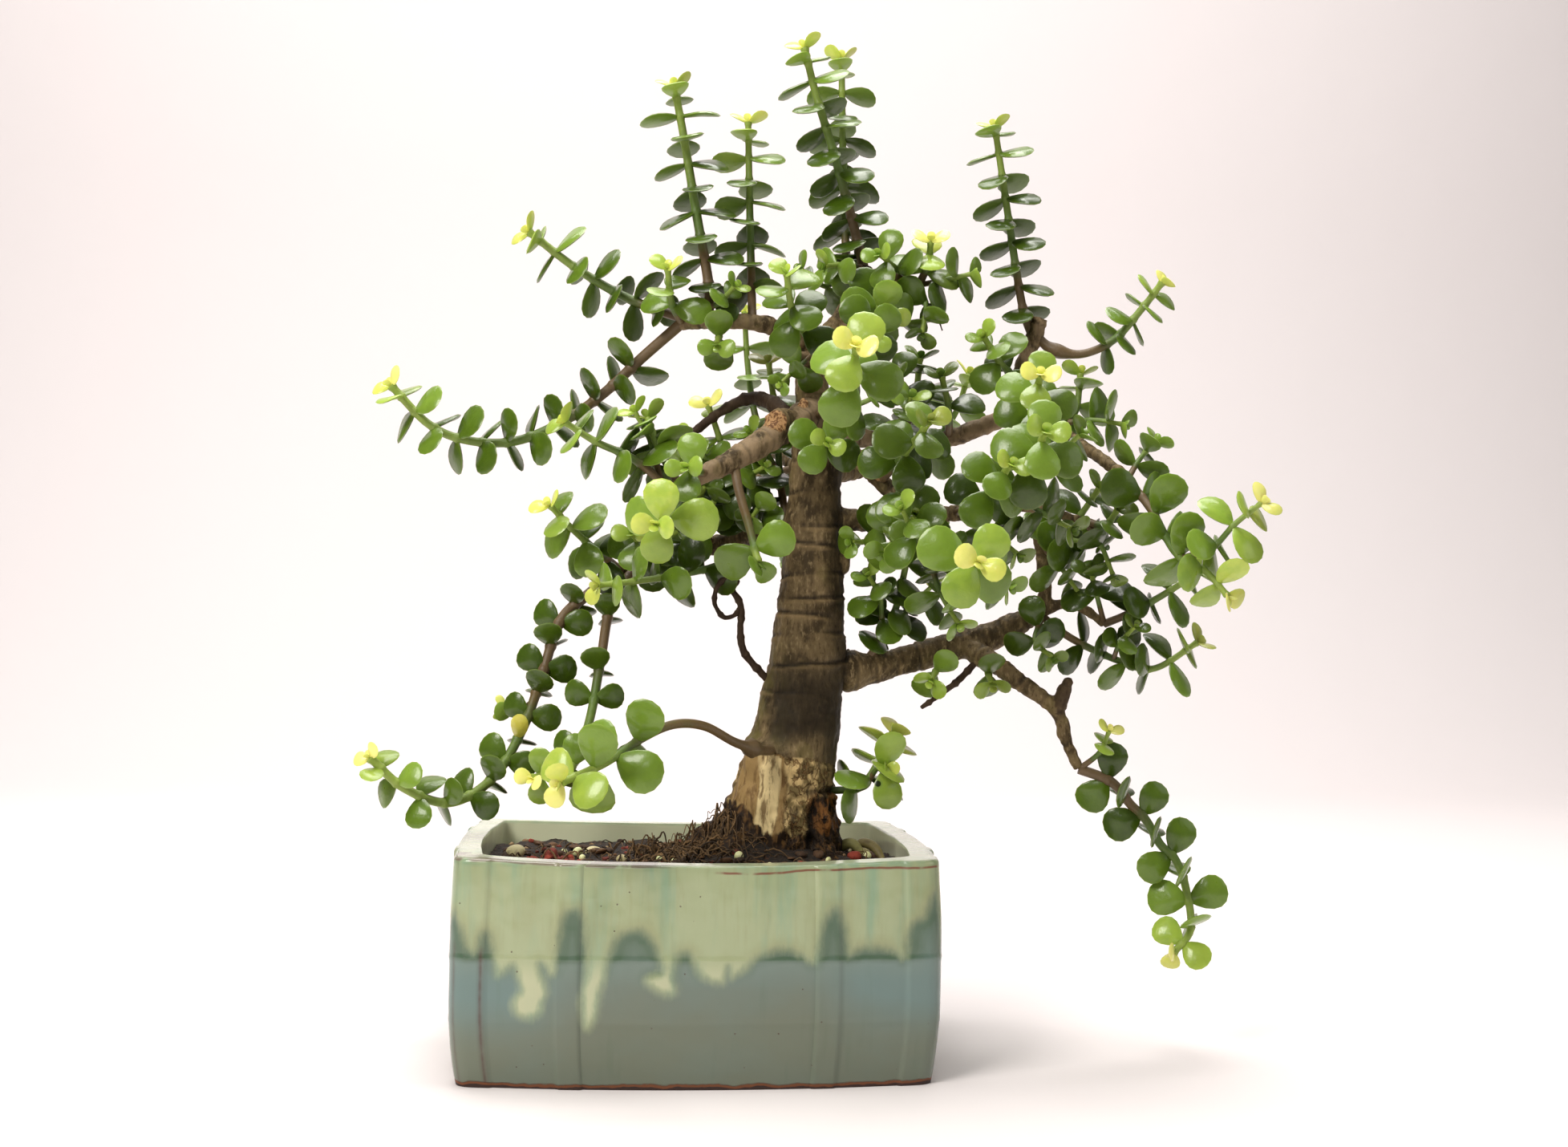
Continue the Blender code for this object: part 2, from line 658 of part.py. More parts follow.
def make_pot(model, cutters, glaze):
    half_width = POT_WIDTH / 2
    half_depth = POT_DEPTH / 2
    columns = rib_edges(FRONT_RIB, half_width) + [0.0]
    rows = rib_edges(SIDE_RIB, half_depth) + [0.0]
    levels = [BELLY_HEIGHT, RIM_DIP_FROM] + [POT_HEIGHT - drop for drop in LIP_DROP]
    bm = unit_block(0.0, POT_HEIGHT, columns, rows, levels)
    join_flat_faces(bm, 0.0)
    join_flat_faces(bm, POT_HEIGHT)
    for vert in bm.verts:
        across, back, height = vert.co
        near_rim = max(0.0, height - (POT_HEIGHT - LIP_ROUND)) / LIP_ROUND
        inset = LIP_ROUND * (1 - math.sqrt(max(0.0, 1 - near_rim**2)))
        vert.co = on_pot(across, back, height, inset)
        at_front = min(1.0, max(0.0, (abs(back) - 1 + CORNER) / CORNER))
        at_side = min(1.0, max(0.0, (abs(across) - 1 + CORNER) / CORNER))
        out_front = RIB_HEIGHT * at_front * relief(across * half_width, half_width, FRONT_RIB)
        out_side = RIB_HEIGHT * at_side * relief(back * half_depth, half_depth, SIDE_RIB)
        vert.co.y += math.copysign(out_front, back)
        vert.co.x += math.copysign(out_side, across)
    pot = make_object("pot", bm, model, glaze)
    tools = [make_cavity(cutters)]
    tools += [make_recess(side, cutters) for side in (-1, 1)]
    tools += [make_drain(side, cutters) for side in (-1, 1)]
    apply_boolean(pot, "DIFFERENCE", tools)
    smooth_shade(pot, 25)
    return pot


def make_cavity(cutters):
    """What the pot's inside takes away: its flare rounds the inner edge of the rim."""
    above = POT_HEIGHT + 6
    levels = [BELLY_HEIGHT, POT_HEIGHT - LIP_ROUND]
    bm = unit_block(FLOOR, above, INSIDE_COLUMNS, INSIDE_ROWS, levels)
    join_flat_faces(bm, FLOOR)
    join_flat_faces(bm, above)
    for vert in bm.verts:
        across, back, height = vert.co
        flare = max(0.0, (height - (POT_HEIGHT - LIP_ROUND)) / LIP_ROUND) * INNER_FLARE
        vert.co = on_pot(across, back, height, WALL - flare)
    return make_object("cavity", bm, cutters)


def make_recess(side, cutters):
    """The hollow of the underside on one side of the middle foot bar."""
    inner = FOOT_BAR / 2
    outer = POT_WIDTH / 2 * belly(0) - FOOT_RING
    half_depth = POT_DEPTH / 2 * belly(0) - FOOT_RING
    bm = bmesh.new()
    bmesh.ops.create_cube(bm, size=1.0)
    bmesh.ops.scale(bm, vec=(outer - inner, 2 * half_depth, 2 * FOOT_RECESS), verts=bm.verts[:])
    bmesh.ops.translate(bm, vec=(side * (inner + outer) / 2, 0, 0), verts=bm.verts[:])
    return make_object("recess", bm, cutters)


def make_drain(side, cutters):
    bm = bmesh.new()
    bmesh.ops.create_cone(
        bm, cap_ends=True, segments=20, radius1=DRAIN_RADIUS, radius2=DRAIN_RADIUS, depth=2 * FLOOR
    )
    bmesh.ops.translate(bm, vec=(side * DRAIN_AT, 0, FLOOR), verts=bm.verts[:])
    return make_object("drain", bm, cutters)


def make_box(name, size, centre, collection, material=None):
    bm = bmesh.new()
    bmesh.ops.create_cube(bm, size=1.0)
    bmesh.ops.scale(bm, vec=size, verts=bm.verts[:])
    bmesh.ops.translate(bm, vec=centre, verts=bm.verts[:])
    return make_object(name, bm, collection, material)


def make_screen(number, side, model, cutters, plastic):
    """The plastic mesh over one drainage hole: a plate with square holes."""
    middle = FLOOR + GAP + SCREEN_THICK / 2
    size = (SCREEN_SIDE, SCREEN_SIDE, SCREEN_THICK)
    screen = make_box(f"drain_screen_{number}", size, (side * DRAIN_AT, 0, middle), model, plastic)
    holes = []
    for column in (-0.5, 0.5):
        for row in (-0.5, 0.5):
            at = (side * DRAIN_AT + column * SCREEN_PITCH, row * SCREEN_PITCH, middle)
            holes.append(make_box("screen_hole", (SCREEN_HOLE, SCREEN_HOLE, 2 * SCREEN_THICK), at, cutters))
    return apply_boolean(screen, "DIFFERENCE", holes)


def heap(x, y, shape):
    """The height that a rounded heap adds at x, y."""
    middle_x, middle_y, height, wide, deep = shape
    return height * math.exp(-(((x - middle_x) / wide) ** 2) - ((y - middle_y) / deep) ** 2)


def soil_height(x, y):
    ripple = SOIL_RIPPLE * (math.sin(0.31 * x + 0.9) * math.cos(0.27 * y) + 0.6 * math.sin(0.19 * (x - y)))
    return SOIL_LEVEL + ripple + heap(x, y, MOUND) + heap(x, y, CLUMP)


def make_stone(x, y, radius, squash, rng, cutters):
    """A small faceted stone that sits half sunk in the soil."""
    bm = bmesh.new()
    bmesh.ops.create_uvsphere(bm, u_segments=5, v_segments=3, radius=radius)
    bmesh.ops.scale(bm, vec=(1.0, 0.8, squash), verts=bm.verts[:])
    turn = Matrix.Rotation(rng.uniform(0, math.pi), 3, "Z") @ Matrix.Rotation(rng.uniform(-0.4, 0.4), 3, "X")
    bmesh.ops.rotate(bm, matrix=turn, verts=bm.verts[:])
    bmesh.ops.translate(bm, vec=(x, y, soil_height(x, y) + GRIT_STANDS_UP * radius), verts=bm.verts[:])
    return make_object("stone", bm, cutters)


def make_soil(model, cutters, earth, fat_wood):
    """Fills the pot's cavity, with its heaped top, its grit, and plain holes where the wood stands."""
    bottom = FLOOR + GAP
    bm = unit_block(bottom, SOIL_LEVEL, INSIDE_COLUMNS, INSIDE_ROWS, [])
    join_flat_faces(bm, bottom)
    for vert in bm.verts:
        across, back, height = vert.co
        at_top = height > SOIL_LEVEL - 1
        vert.co = on_pot(across, back, height, WALL + GAP)
        if at_top:
            vert.co.z = soil_height(vert.co.x, vert.co.y)
    soil = make_object("soil", bm, model, earth)
    rng = random.Random("grit")
    grit = [make_stone(x, y, radius, PEBBLE_SQUASH, rng, cutters) for x, y, radius in PEBBLES]
    grit += [make_stone(x, y, BEAD_RADIUS, 1.0, rng, cutters) for x, y in BEADS]
    apply_boolean(soil, "UNION", grit)
    room = SCREEN_SIDE + 2 * GAP
    top = FLOOR + 2 * GAP + SCREEN_THICK
    spaces = [
        make_box("screen_space", (room, room, 2 * (top - FLOOR)), (side * DRAIN_AT, 0, FLOOR), cutters)
        for side in (-1, 1)
    ]
    apply_boolean(soil, "DIFFERENCE", spaces + [fat_wood])
    keep_largest_piece(soil)
    return soil


def make_wood(name, collection, fatter=0.0):
    """Trunk, roots, limbs, stubs and dead twigs as one body."""
    tubes = []
    for limb in LIMBS:
        points = fewest_points(curve_through(limb.points, 1.0), WOOD_TOLERANCE)
        tubes.append(make_tube(limb.name, points, limb.sides, collection, fatter))
    wood = tubes[0]
    wood.name = name
    return apply_boolean(wood, "UNION", tubes[1:])


def route_of(shoot):
    """The shoot's points, starting in the middle of what it grows from."""
    limb = next((limb for limb in LIMBS if limb.name == shoot.parent), None)
    if limb:
        parent = limb.points
    else:
        parent = route_of(next(other for other in SHOOTS if other.name == shoot.parent))
    line = curve_through(parent, 1.0)
    start = line[round(shoot.share * (len(line) - 1)), :3]
    return np.vstack([start, np.array(shoot.route, float)])


def stem_frames(line):
    """Tangent, side and front at each sample, carried from the tip down so that they don't twist."""
    tangents = np.gradient(line, axis=0)
    tangents /= np.linalg.norm(tangents, axis=1)[:, None]
    guide = UP if abs(tangents[-1] @ VIEW) > 0.75 else VIEW
    side = unit(np.cross(guide, tangents[-1]))
    sides = []
    for tangent in tangents[::-1]:
        side = unit(side - (side @ tangent) * tangent)
        sides.append(side)
    sides = np.array(sides[::-1])
    return tangents, sides, np.cross(sides, tangents)


def leaf_places(shoot):
    """For each leaf its order from the tip and one frame per bend: base, along, facing and length."""
    rng = random.Random(shoot.name)
    line = curve_through(route_of(shoot), ROUTE_SAMPLE)
    tangents, sides, fronts = stem_frames(line)
    light = unit(LIGHT)
    at = ROUTE_SAMPLE * (len(line) - 1) - STEM_END
    order = 0
    while at > shoot.bare:
        i = round(at / ROUTE_SAMPLE)
        pair_angle = shoot.phase + 90 * order + rng.uniform(-9, 9)
        for half_turn in (0, 180):
            angle = pair_angle + half_turn + rng.uniform(-6, 6)
            lift = shoot.lift + TIP_LIFTS[min(order, len(TIP_LIFTS) - 1)] + rng.uniform(-7, 7)
            length = shoot.leaf * TIP_SIZES[min(order, len(TIP_SIZES) - 1)] * rng.uniform(0.94, 1.05)
            lean = shoot.lean * rng.uniform(*LEAN_SHARES)
            tries = []
            for more_lift, swing, size in BENDS:
                swung = math.radians(angle + swing)
                lifted = math.radians(lift + more_lift)
                out = sides[i] * math.cos(swung) + fronts[i] * math.sin(swung)
                along = out * math.cos(lifted) + tangents[i] * math.sin(lifted)
                facing = tangents[i] * math.cos(lifted) - out * math.sin(lifted)
                facing = (1 - shoot.turn) * facing + shoot.turn * light
                facing = unit(facing - (facing @ along) * along)
                facing = facing + math.copysign(lean, facing @ VIEW) * VIEW
                facing = unit(facing - (facing @ along) * along)
                tries.append((line[i], along, facing, length * size))
            yield order, tries
        at -= (shoot.tip_step, 0.8 * shoot.step, shoot.step)[min(order, 2)]
        order += 1


def blade_point(x, y, z):
    """Where a point of the unit sphere goes on a leaf that is 1 long and faces up; +x is its stalk.

    The six-sided ring has an edge and no corner at either end, a little short of the full length.
    """
    out = 0.5 * (1 - x / RING_REACH)
    return (out, -y * BLADE_WIDTH * out**STALK_PINCH, HALF_THICKNESS * z - TIP_CURL * max(0.0, -x) ** 2)


def make_leaf_shape():
    """The points and faces of one leaf that is 1 long."""
    bm = bmesh.new()
    bmesh.ops.create_uvsphere(bm, u_segments=LEAF_SIDES, v_segments=2, radius=1.0)
    bm.verts.ensure_lookup_table()
    faces = [tuple(vert.index for vert in face.verts) for face in bm.faces]
    sphere = [tuple(vert.co) for vert in bm.verts]
    bm.free()
    leaf = np.array([blade_point(*point) for point in sphere])
    return leaf, faces


def placed(shape, frame, margin=0.0):
    """The leaf's points in millimetres in one frame; a margin fattens it and shortens its stalk."""
    base, along, facing, length = frame
    across = np.cross(facing, along)
    sized = shape * length
    if margin:
        middle = np.array([BLADE_MIDDLE, 0.0, 0.0]) * length
        from_middle = sized - middle
        reach = np.abs(from_middle).max(axis=0) + 1e-6
        sized = middle + from_middle * (1 + margin / reach)
        sized[:, 0] = np.maximum(sized[:, 0], STALK_SHARE * length)
    return base + sized[:, :1] * along + sized[:, 1:2] * across + sized[:, 2:] * facing


def tree_of(points, faces):
    return BVHTree.FromPolygons([Vector(point) for point in points], faces)


class Surroundings:
    """Everything that a new leaf must stay clear of."""

    def __init__(self):
        self.trees = []

    def add(self, points, faces):
        points = np.array(points)
        self.trees.append((points.min(axis=0), points.max(axis=0), tree_of(points, faces)))

    def add_object(self, target):
        mesh = target.data
        points = [tuple(vert.co / MM) for vert in mesh.vertices]
        self.add(points, [tuple(face.vertices) for face in mesh.polygons])
        return self.trees[-1]

    def touches(self, points, faces, own_stem):
        low = points.min(axis=0)
        high = points.max(axis=0)
        tree = None
        for entry in self.trees:
            if entry is own_stem or (entry[0] > high).any() or (entry[1] < low).any():
                continue
            tree = tree or tree_of(points, faces)
            if tree.overlap(entry[2]):
                return True
        return False


def make_stem(shoot, collection):
    """The shoot's stem, without leaves."""
    line = curve_through(route_of(shoot), 1.0)
    taper = np.linspace(1, STEM_END, len(line))[:, None] * shoot.radius
    points = fewest_points(np.hstack([line, taper]), STEM_TOLERANCE)
    return make_tube(shoot.name, points, STEM_SIDES, collection)


def make_leaf(frame, shape, faces, cutters):
    """One leaf where its frame says, still apart from its stem."""
    mesh = bpy.data.meshes.new("leaf")
    mesh.from_pydata([Vector(point) * MM for point in placed(shape, frame)], [], faces)
    leaf = bpy.data.objects.new("leaf", mesh)
    cutters.objects.link(leaf)
    return leaf


def copy_of(target, collection):
    """A twin with a mesh of its own."""
    twin = target.copy()
    twin.data = target.data.copy()
    collection.objects.link(twin)
    return twin


def grow_shoots(model, cutters, green, around, fat_wood):
    """Every shoot with the leaves that fit; a side shoot is joined to the one it grows from."""
    shape, faces = make_leaf_shape()
    stems = {shoot.name: make_stem(shoot, model) for shoot in SHOOTS}
    entries = {name: around.add_object(stem) for name, stem in stems.items()}
    leaves = {shoot.name: [] for shoot in SHOOTS}
    for shoot in SHOOTS:
        for order, tries in leaf_places(shoot):
            if shoot.skip and (order + 1) % shoot.skip == 0:
                continue
            for frame in tries:
                if not around.touches(placed(shape, frame, CLEARANCE), faces, entries[shoot.name]):
                    around.add(placed(shape, frame), faces)
                    leaves[shoot.name].append(make_leaf(frame, shape, faces, cutters))
                    break
    side_shoots = [shoot for shoot in SHOOTS if shoot.parent in stems]
    for shoot in side_shoots:
        leaves[shoot.parent] += leaves[shoot.name] + [stems[shoot.name]]
    made = []
    for shoot in SHOOTS:
        if shoot in side_shoots:
            continue
        sprout = apply_boolean(stems[shoot.name], "UNION", leaves[shoot.name])
        apply_boolean(sprout, "DIFFERENCE", [copy_of(fat_wood, cutters)])
        keep_largest_piece(sprout)
        sprout.data.materials.clear()
        sprout.data.materials.append(green)
        smooth_shade(sprout, 40)
        made.append(sprout)
    return made


def main():
    model, cutters = start_scene()
    glaze = make_material("celadon_glaze", (0.36, 0.47, 0.44), 0.18)
    earth = make_material("dark_soil", (0.06, 0.045, 0.035), 0.9)
    bark = make_material("grey_brown_bark", (0.24, 0.19, 0.15), 0.8)
    green = make_material("jade_leaf", (0.16, 0.36, 0.10), 0.35)
    plastic = make_material("black_plastic", (0.03, 0.03, 0.03), 0.5)
    pot = make_pot(model, cutters, glaze)
    for number, side in enumerate((-1, 1), start=1):
        make_screen(number, side, model, cutters, plastic)
    wood = make_wood("wood", model)
    wood.data.materials.clear()
    wood.data.materials.append(bark)
    smooth_shade(wood, 60)
    fat_wood = make_wood("fat_wood", cutters, GAP)
    soil = make_soil(model, cutters, earth, copy_of(fat_wood, cutters))
    around = Surroundings()
    for target in (pot, soil, wood):
        around.add_object(target)
    grow_shoots(model, cutters, green, around, fat_wood)
    bpy.data.objects.remove(fat_wood, do_unlink=True)


main()
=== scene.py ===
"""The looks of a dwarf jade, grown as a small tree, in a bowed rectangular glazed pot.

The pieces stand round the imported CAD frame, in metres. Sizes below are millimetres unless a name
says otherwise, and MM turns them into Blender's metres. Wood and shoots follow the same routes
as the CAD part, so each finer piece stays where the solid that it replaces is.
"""

from __future__ import annotations

import json
import logging
import math
import random
from dataclasses import dataclass, field
from enum import Enum
from typing import Iterator, Sequence

import bpy
import numpy as np
from mathutils import Matrix, Vector, noise
from mathutils.bvhtree import BVHTree
from mathutils.kdtree import KDTree

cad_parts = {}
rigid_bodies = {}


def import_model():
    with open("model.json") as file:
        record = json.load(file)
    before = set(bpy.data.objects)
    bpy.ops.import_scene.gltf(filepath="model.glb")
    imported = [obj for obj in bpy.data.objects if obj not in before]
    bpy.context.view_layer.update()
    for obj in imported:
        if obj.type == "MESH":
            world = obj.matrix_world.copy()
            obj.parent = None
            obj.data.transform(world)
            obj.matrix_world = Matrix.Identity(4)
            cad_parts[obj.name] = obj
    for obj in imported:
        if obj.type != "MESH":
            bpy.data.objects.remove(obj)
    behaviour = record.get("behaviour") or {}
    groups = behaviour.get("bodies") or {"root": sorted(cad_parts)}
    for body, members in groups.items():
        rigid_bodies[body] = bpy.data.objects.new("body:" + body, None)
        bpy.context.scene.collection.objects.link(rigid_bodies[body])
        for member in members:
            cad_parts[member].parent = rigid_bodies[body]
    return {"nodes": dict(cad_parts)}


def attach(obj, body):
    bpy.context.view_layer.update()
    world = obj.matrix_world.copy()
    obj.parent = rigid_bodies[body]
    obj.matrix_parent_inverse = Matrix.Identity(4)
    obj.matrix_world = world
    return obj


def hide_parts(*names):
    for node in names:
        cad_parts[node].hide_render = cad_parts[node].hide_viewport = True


LOG = logging.getLogger("dwarf_jade")
MM = 0.001
BODY = "root"

Array = np.ndarray
Object = bpy.types.Object
Triple = tuple[float, float, float]
# A colour as seen on a screen
Colour = Triple


class Slot(Enum):
    """The record's material slots."""

    GLAZE = "glaze"
    SOIL = "soil"
    BARK = "bark"
    LEAF = "leaf"


def linear(red: float, green: float, blue: float) -> Colour:
    """A colour as seen on a screen, turned into the linear values that a shader takes.

    Every finish gives its colours as seen on a screen, and Graph turns them where it feeds them in.
    """
    return tuple(c / 12.92 if c <= 0.04045 else ((c + 0.055) / 1.055) ** 2.4 for c in (red, green, blue))


# Shader maths


class Num:
    """A number socket that takes part in Python arithmetic; each operation adds one Math node."""

    def __init__(self, graph: Graph, socket: bpy.types.NodeSocket) -> None:
        """Keeps the socket and the graph that it belongs to."""
        self.graph = graph
        self.socket = socket

    def math(self, operation: str, *others: Num | float, clamp: bool = False) -> Num:
        """Adds a Math node with this number as its first input.

        Args:
            operation: The node's operation.
            others: The further inputs.
            clamp: Whether the result is kept between 0 and 1.

        Returns:
            The node's result.
        """
        values = dict(enumerate((self, *others)))
        node = self.graph.node("ShaderNodeMath", {"operation": operation, "use_clamp": clamp}, values)
        return Num(self.graph, node.outputs[0])

    def __add__(self, other: Num | float) -> Num:
        """self + other"""
        return self.math("ADD", other)

    __radd__ = __add__

    def __sub__(self, other: Num | float) -> Num:
        """self - other"""
        return self.math("SUBTRACT", other)

    def __rsub__(self, other: float) -> Num:
        """other - self"""
        return self.math("MULTIPLY", -1.0).math("ADD", other)

    def __mul__(self, other: Num | float) -> Num:
        """self * other"""
        return self.math("MULTIPLY", other)

    __rmul__ = __mul__

    def clamped(self) -> Num:
        """The number kept between 0 and 1."""
        return self.math("ADD", 0.0, clamp=True)

    def between(self, low: float, high: float) -> Num:
        """A smooth step from 0 at low to 1 at high; low may be the larger."""
        flip = low > high
        start, end = (high, low) if flip else (low, high)
        inputs = {"Value": self, "From Min": start, "From Max": end}
        node = self.graph.node("ShaderNodeMapRange", {"interpolation_type": "SMOOTHSTEP"}, inputs)
        step = Num(self.graph, node.outputs[0])
        return 1 - step if flip else step


class Graph:
    """The nodes of one material. Every node but the two that it starts with comes from node()."""

    def __init__(self, name: str) -> None:
        """Starts a material with its Principled shader."""
        self.material = bpy.data.materials.new(name)
        self.material.use_nodes = True
        self.tree = self.material.node_tree
        self.shader = self.tree.nodes["Principled BSDF"]

    def node(
        self, kind: str, settings: dict[str, object] | None = None, inputs: dict | None = None
    ) -> bpy.types.Node:
        """Adds a node.

        Args:
            kind: The node's type.
            settings: What is set first, such as an operation, or stops for a colour ramp.
            inputs: The value or link of each socket, by its name or number.

        Returns:
            The node.
        """
        node = self.tree.nodes.new(kind)
        for key, value in (settings or {}).items():
            if key == "stops":
                self._fill_ramp(node.color_ramp, value)
            else:
                setattr(node, key, value)
        for key, value in (inputs or {}).items():
            self.feed(node.inputs[key], value)
        return node

    @staticmethod
    def _fill_ramp(ramp: bpy.types.ColorRamp, stops: Sequence[tuple[float, Colour]]) -> None:
        """Gives a colour ramp its stops, each a place and a colour."""
        while len(ramp.elements) < len(stops):
            ramp.elements.new(1.0)
        for element, (place, colour) in zip(ramp.elements, stops):
            element.position = place
            element.color = (*linear(*colour), 1.0)

    def feed(self, socket: bpy.types.NodeSocket, value: object) -> None:
        """Links a socket to another, or sets its value."""
        if isinstance(value, Num):
            value = value.socket
        if isinstance(value, bpy.types.NodeSocket):
            self.tree.links.new(value, socket)
        elif isinstance(value, tuple) and len(value) == 3 and socket.type == "RGBA":
            socket.default_value = (*linear(*value), 1.0)
        else:
            socket.default_value = value

    def finish(self, **inputs: object) -> bpy.types.Material:
        """Feeds the Principled shader; a name's underscores stand for spaces."""
        for key, value in inputs.items():
            self.feed(self.shader.inputs[key.replace("_", " ")], value)
        return self.material

    def place(self, stretch: Triple = (1.0, 1.0, 1.0)) -> bpy.types.NodeSocket:
        """The point on the piece in millimetres, each axis multiplied by stretch."""
        point = self.node("ShaderNodeTexCoord").outputs["Object"]
        scale = tuple(1000.0 * factor for factor in stretch)
        return self.node("ShaderNodeVectorMath", {"operation": "MULTIPLY"}, {0: point, 1: scale}).outputs[0]

    def axis(self, index: int) -> Num:
        """One coordinate of the point on the piece, in millimetres."""
        return Num(self, self.node("ShaderNodeSeparateXYZ", None, {0: self.place()}).outputs[index])

    def value(self, name: str) -> Num:
        """A number that the mesh holds at each point."""
        return Num(self, self.node("ShaderNodeAttribute", {"attribute_name": name}).outputs["Fac"])

    def grain(self, size: float, detail: float = 3.0, stretch: Triple = (1.0, 1.0, 1.0), rough: float = 0.5) -> Num:
        """Soft noise between 0 and 1.

        Args:
            size: How large its blotches are, in millimetres.
            detail: How many finer layers it has.
            stretch: Factors on the axes: under 1 draws the pattern out.
            rough: How strong the finer layers are.

        Returns:
            The noise.
        """
        inputs = {"Vector": self.place(stretch), "Scale": 1.0 / size, "Detail": detail, "Roughness": rough}
        return Num(self, self.node("ShaderNodeTexNoise", None, inputs).outputs["Fac"])

    def cells(self, size: float) -> Num:
        """The distance field of a pattern of cells of about this size."""
        inputs = {"Vector": self.place(), "Scale": 1.0 / size}
        return Num(self, self.node("ShaderNodeTexVoronoi", None, inputs).outputs["Distance"])

    def mix(self, factor: Num | float, first: object, second: object) -> bpy.types.NodeSocket:
        """A colour between two."""
        return self.node("ShaderNodeMix", {"data_type": "RGBA"}, {0: factor, 6: first, 7: second}).outputs[2]

    def ramp(self, factor: Num, stops: Sequence[tuple[float, Colour]]) -> bpy.types.NodeSocket:
        """The colour at a place along a ramp."""
        return self.node("ShaderNodeValToRGB", {"stops": stops}, {0: factor}).outputs[0]

    def bump(self, height: Num, depth: float) -> bpy.types.NodeSocket:
        """A normal that follows this height; depth is how many millimetres a height of 1 stands for."""
        return self.node("ShaderNodeBump", None, {"Distance": depth * MM, "Height": height}).outputs[0]


# Shapes that several classes use


def unit(vector: Array) -> Array:
    """The vector made 1 long."""
    return vector / np.linalg.norm(vector)


def smooth_step(value: Array | float, low: float, high: float) -> Array | float:
    """0 below low, 1 above high and smooth between; low may be the larger."""
    share = np.clip((value - low) / (high - low), 0.0, 1.0)
    return share * share * (3 - 2 * share)


def curve_through(points: Sequence[Sequence[float]] | Array, spacing: float) -> Array:
    """Evenly spaced samples of the smooth curve (Catmull-Rom) through some points.

    Args:
        points: Each point's coordinates, with any further values that follow the curve.
        spacing: The distance between samples.

    Returns:
        One row per sample.
    """
    fixed = np.array(points, float)
    fixed = np.vstack([2 * fixed[0] - fixed[1], fixed, 2 * fixed[-1] - fixed[-2]])
    dense = []
    for a, b, c, d in zip(fixed, fixed[1:], fixed[2:], fixed[3:]):
        for t in np.linspace(0, 1, 16, endpoint=False):
            bend = (2 * a - 5 * b + 4 * c - d) * t**2 + (3 * b - a - 3 * c + d) * t**3
            dense.append(0.5 * (2 * b + (c - a) * t + bend))
    dense.append(fixed[-2])
    dense = np.array(dense)
    steps = np.linalg.norm(np.diff(dense[:, :3], axis=0), axis=1)
    run = np.concatenate([[0], np.cumsum(steps)])
    at = np.linspace(0, run[-1], max(2, round(run[-1] / spacing) + 1))
    return np.stack([np.interp(at, run, column) for column in dense.T], axis=1)


def noise_at(points: Array, size: float, seed: float = 0.0) -> Array:
    """Smooth noise between about -1 and 1 at each point; size is that of its blotches."""
    shift = Vector((seed, 1.7 * seed, 0.6 * seed))
    return np.array([noise.noise(Vector(point) / size + shift) for point in points])


def points_of(obj: Object) -> Array:
    """Where an object's vertices are, in millimetres."""
    flat = np.empty(3 * len(obj.data.vertices))
    obj.data.vertices.foreach_get("co", flat)
    return flat.reshape(-1, 3) / MM


def move_points(obj: Object, points: Array) -> None:
    """Puts an object's vertices at these places, given in millimetres."""
    obj.data.vertices.foreach_set("co", (points * MM).ravel())
    obj.data.update()


def normals_of(obj: Object) -> Array:
    """The directions in which an object's vertices face."""
    flat = np.empty(3 * len(obj.data.vertices))
    obj.data.vertices.foreach_get("normal", flat)
    return flat.reshape(-1, 3)


def give_values(obj: Object, name: str, values: Array | float) -> None:
    """Stores a number per vertex for the shader, or the same one for all."""
    attribute = obj.data.attributes.new(name, "FLOAT", "POINT")
    attribute.data.foreach_set("value", np.full(len(obj.data.vertices), values, np.float32))


def bell(offset: Array, width: float) -> Array:
    """1 where the offset is 0, dying away over this width on both sides."""
    return np.exp(-((offset / width) ** 2))


def tree_of(points: Array) -> KDTree:
    """A search tree over points."""
    tree = KDTree(len(points))
    for number, point in enumerate(points):
        tree.insert(point, number)
    tree.balance()
    return tree


def select_only(*objs: Object) -> None:
    """Selects these objects, the first of them active."""
    bpy.ops.object.select_all(action="DESELECT")
    for obj in objs:
        obj.select_set(True)
    bpy.context.view_layer.objects.active = objs[0]


def join(name: str, objs: Sequence[Object]) -> Object:
    """Makes one object of several and names it."""
    select_only(*objs)
    if len(objs) > 1:
        bpy.ops.object.join()
    objs[0].name = name
    objs[0].data.name = name
    return objs[0]


def close_and_turn_out(obj: Object, merge: float = 0.0) -> None:
    """Merges points nearer than this many millimetres, fills holes and turns the normals outwards."""
    select_only(obj)
    bpy.ops.object.mode_set(mode="EDIT")
    bpy.ops.mesh.select_all(action="SELECT")
    if merge:
        bpy.ops.mesh.remove_doubles(threshold=merge * MM)
    bpy.ops.mesh.fill_holes(sides=0)
    bpy.ops.mesh.select_all(action="SELECT")
    bpy.ops.mesh.normals_make_consistent(inside=False)
    bpy.ops.object.mode_set(mode="OBJECT")


def shade_by_angle(obj: Object, degrees: float) -> None:
    """Smooths the shading over every edge that is blunter than this."""
    select_only(obj)
    bpy.ops.object.shade_smooth_by_angle(angle=math.radians(degrees))


def add_modifier(obj: Object, kind: str, **settings: object) -> None:
    """Adds a modifier with these settings and applies it."""
    select_only(obj)
    modifier = obj.modifiers.new(kind.title(), kind)
    for key, value in settings.items():
        setattr(modifier, key, value)
    bpy.ops.object.modifier_apply(modifier=modifier.name)


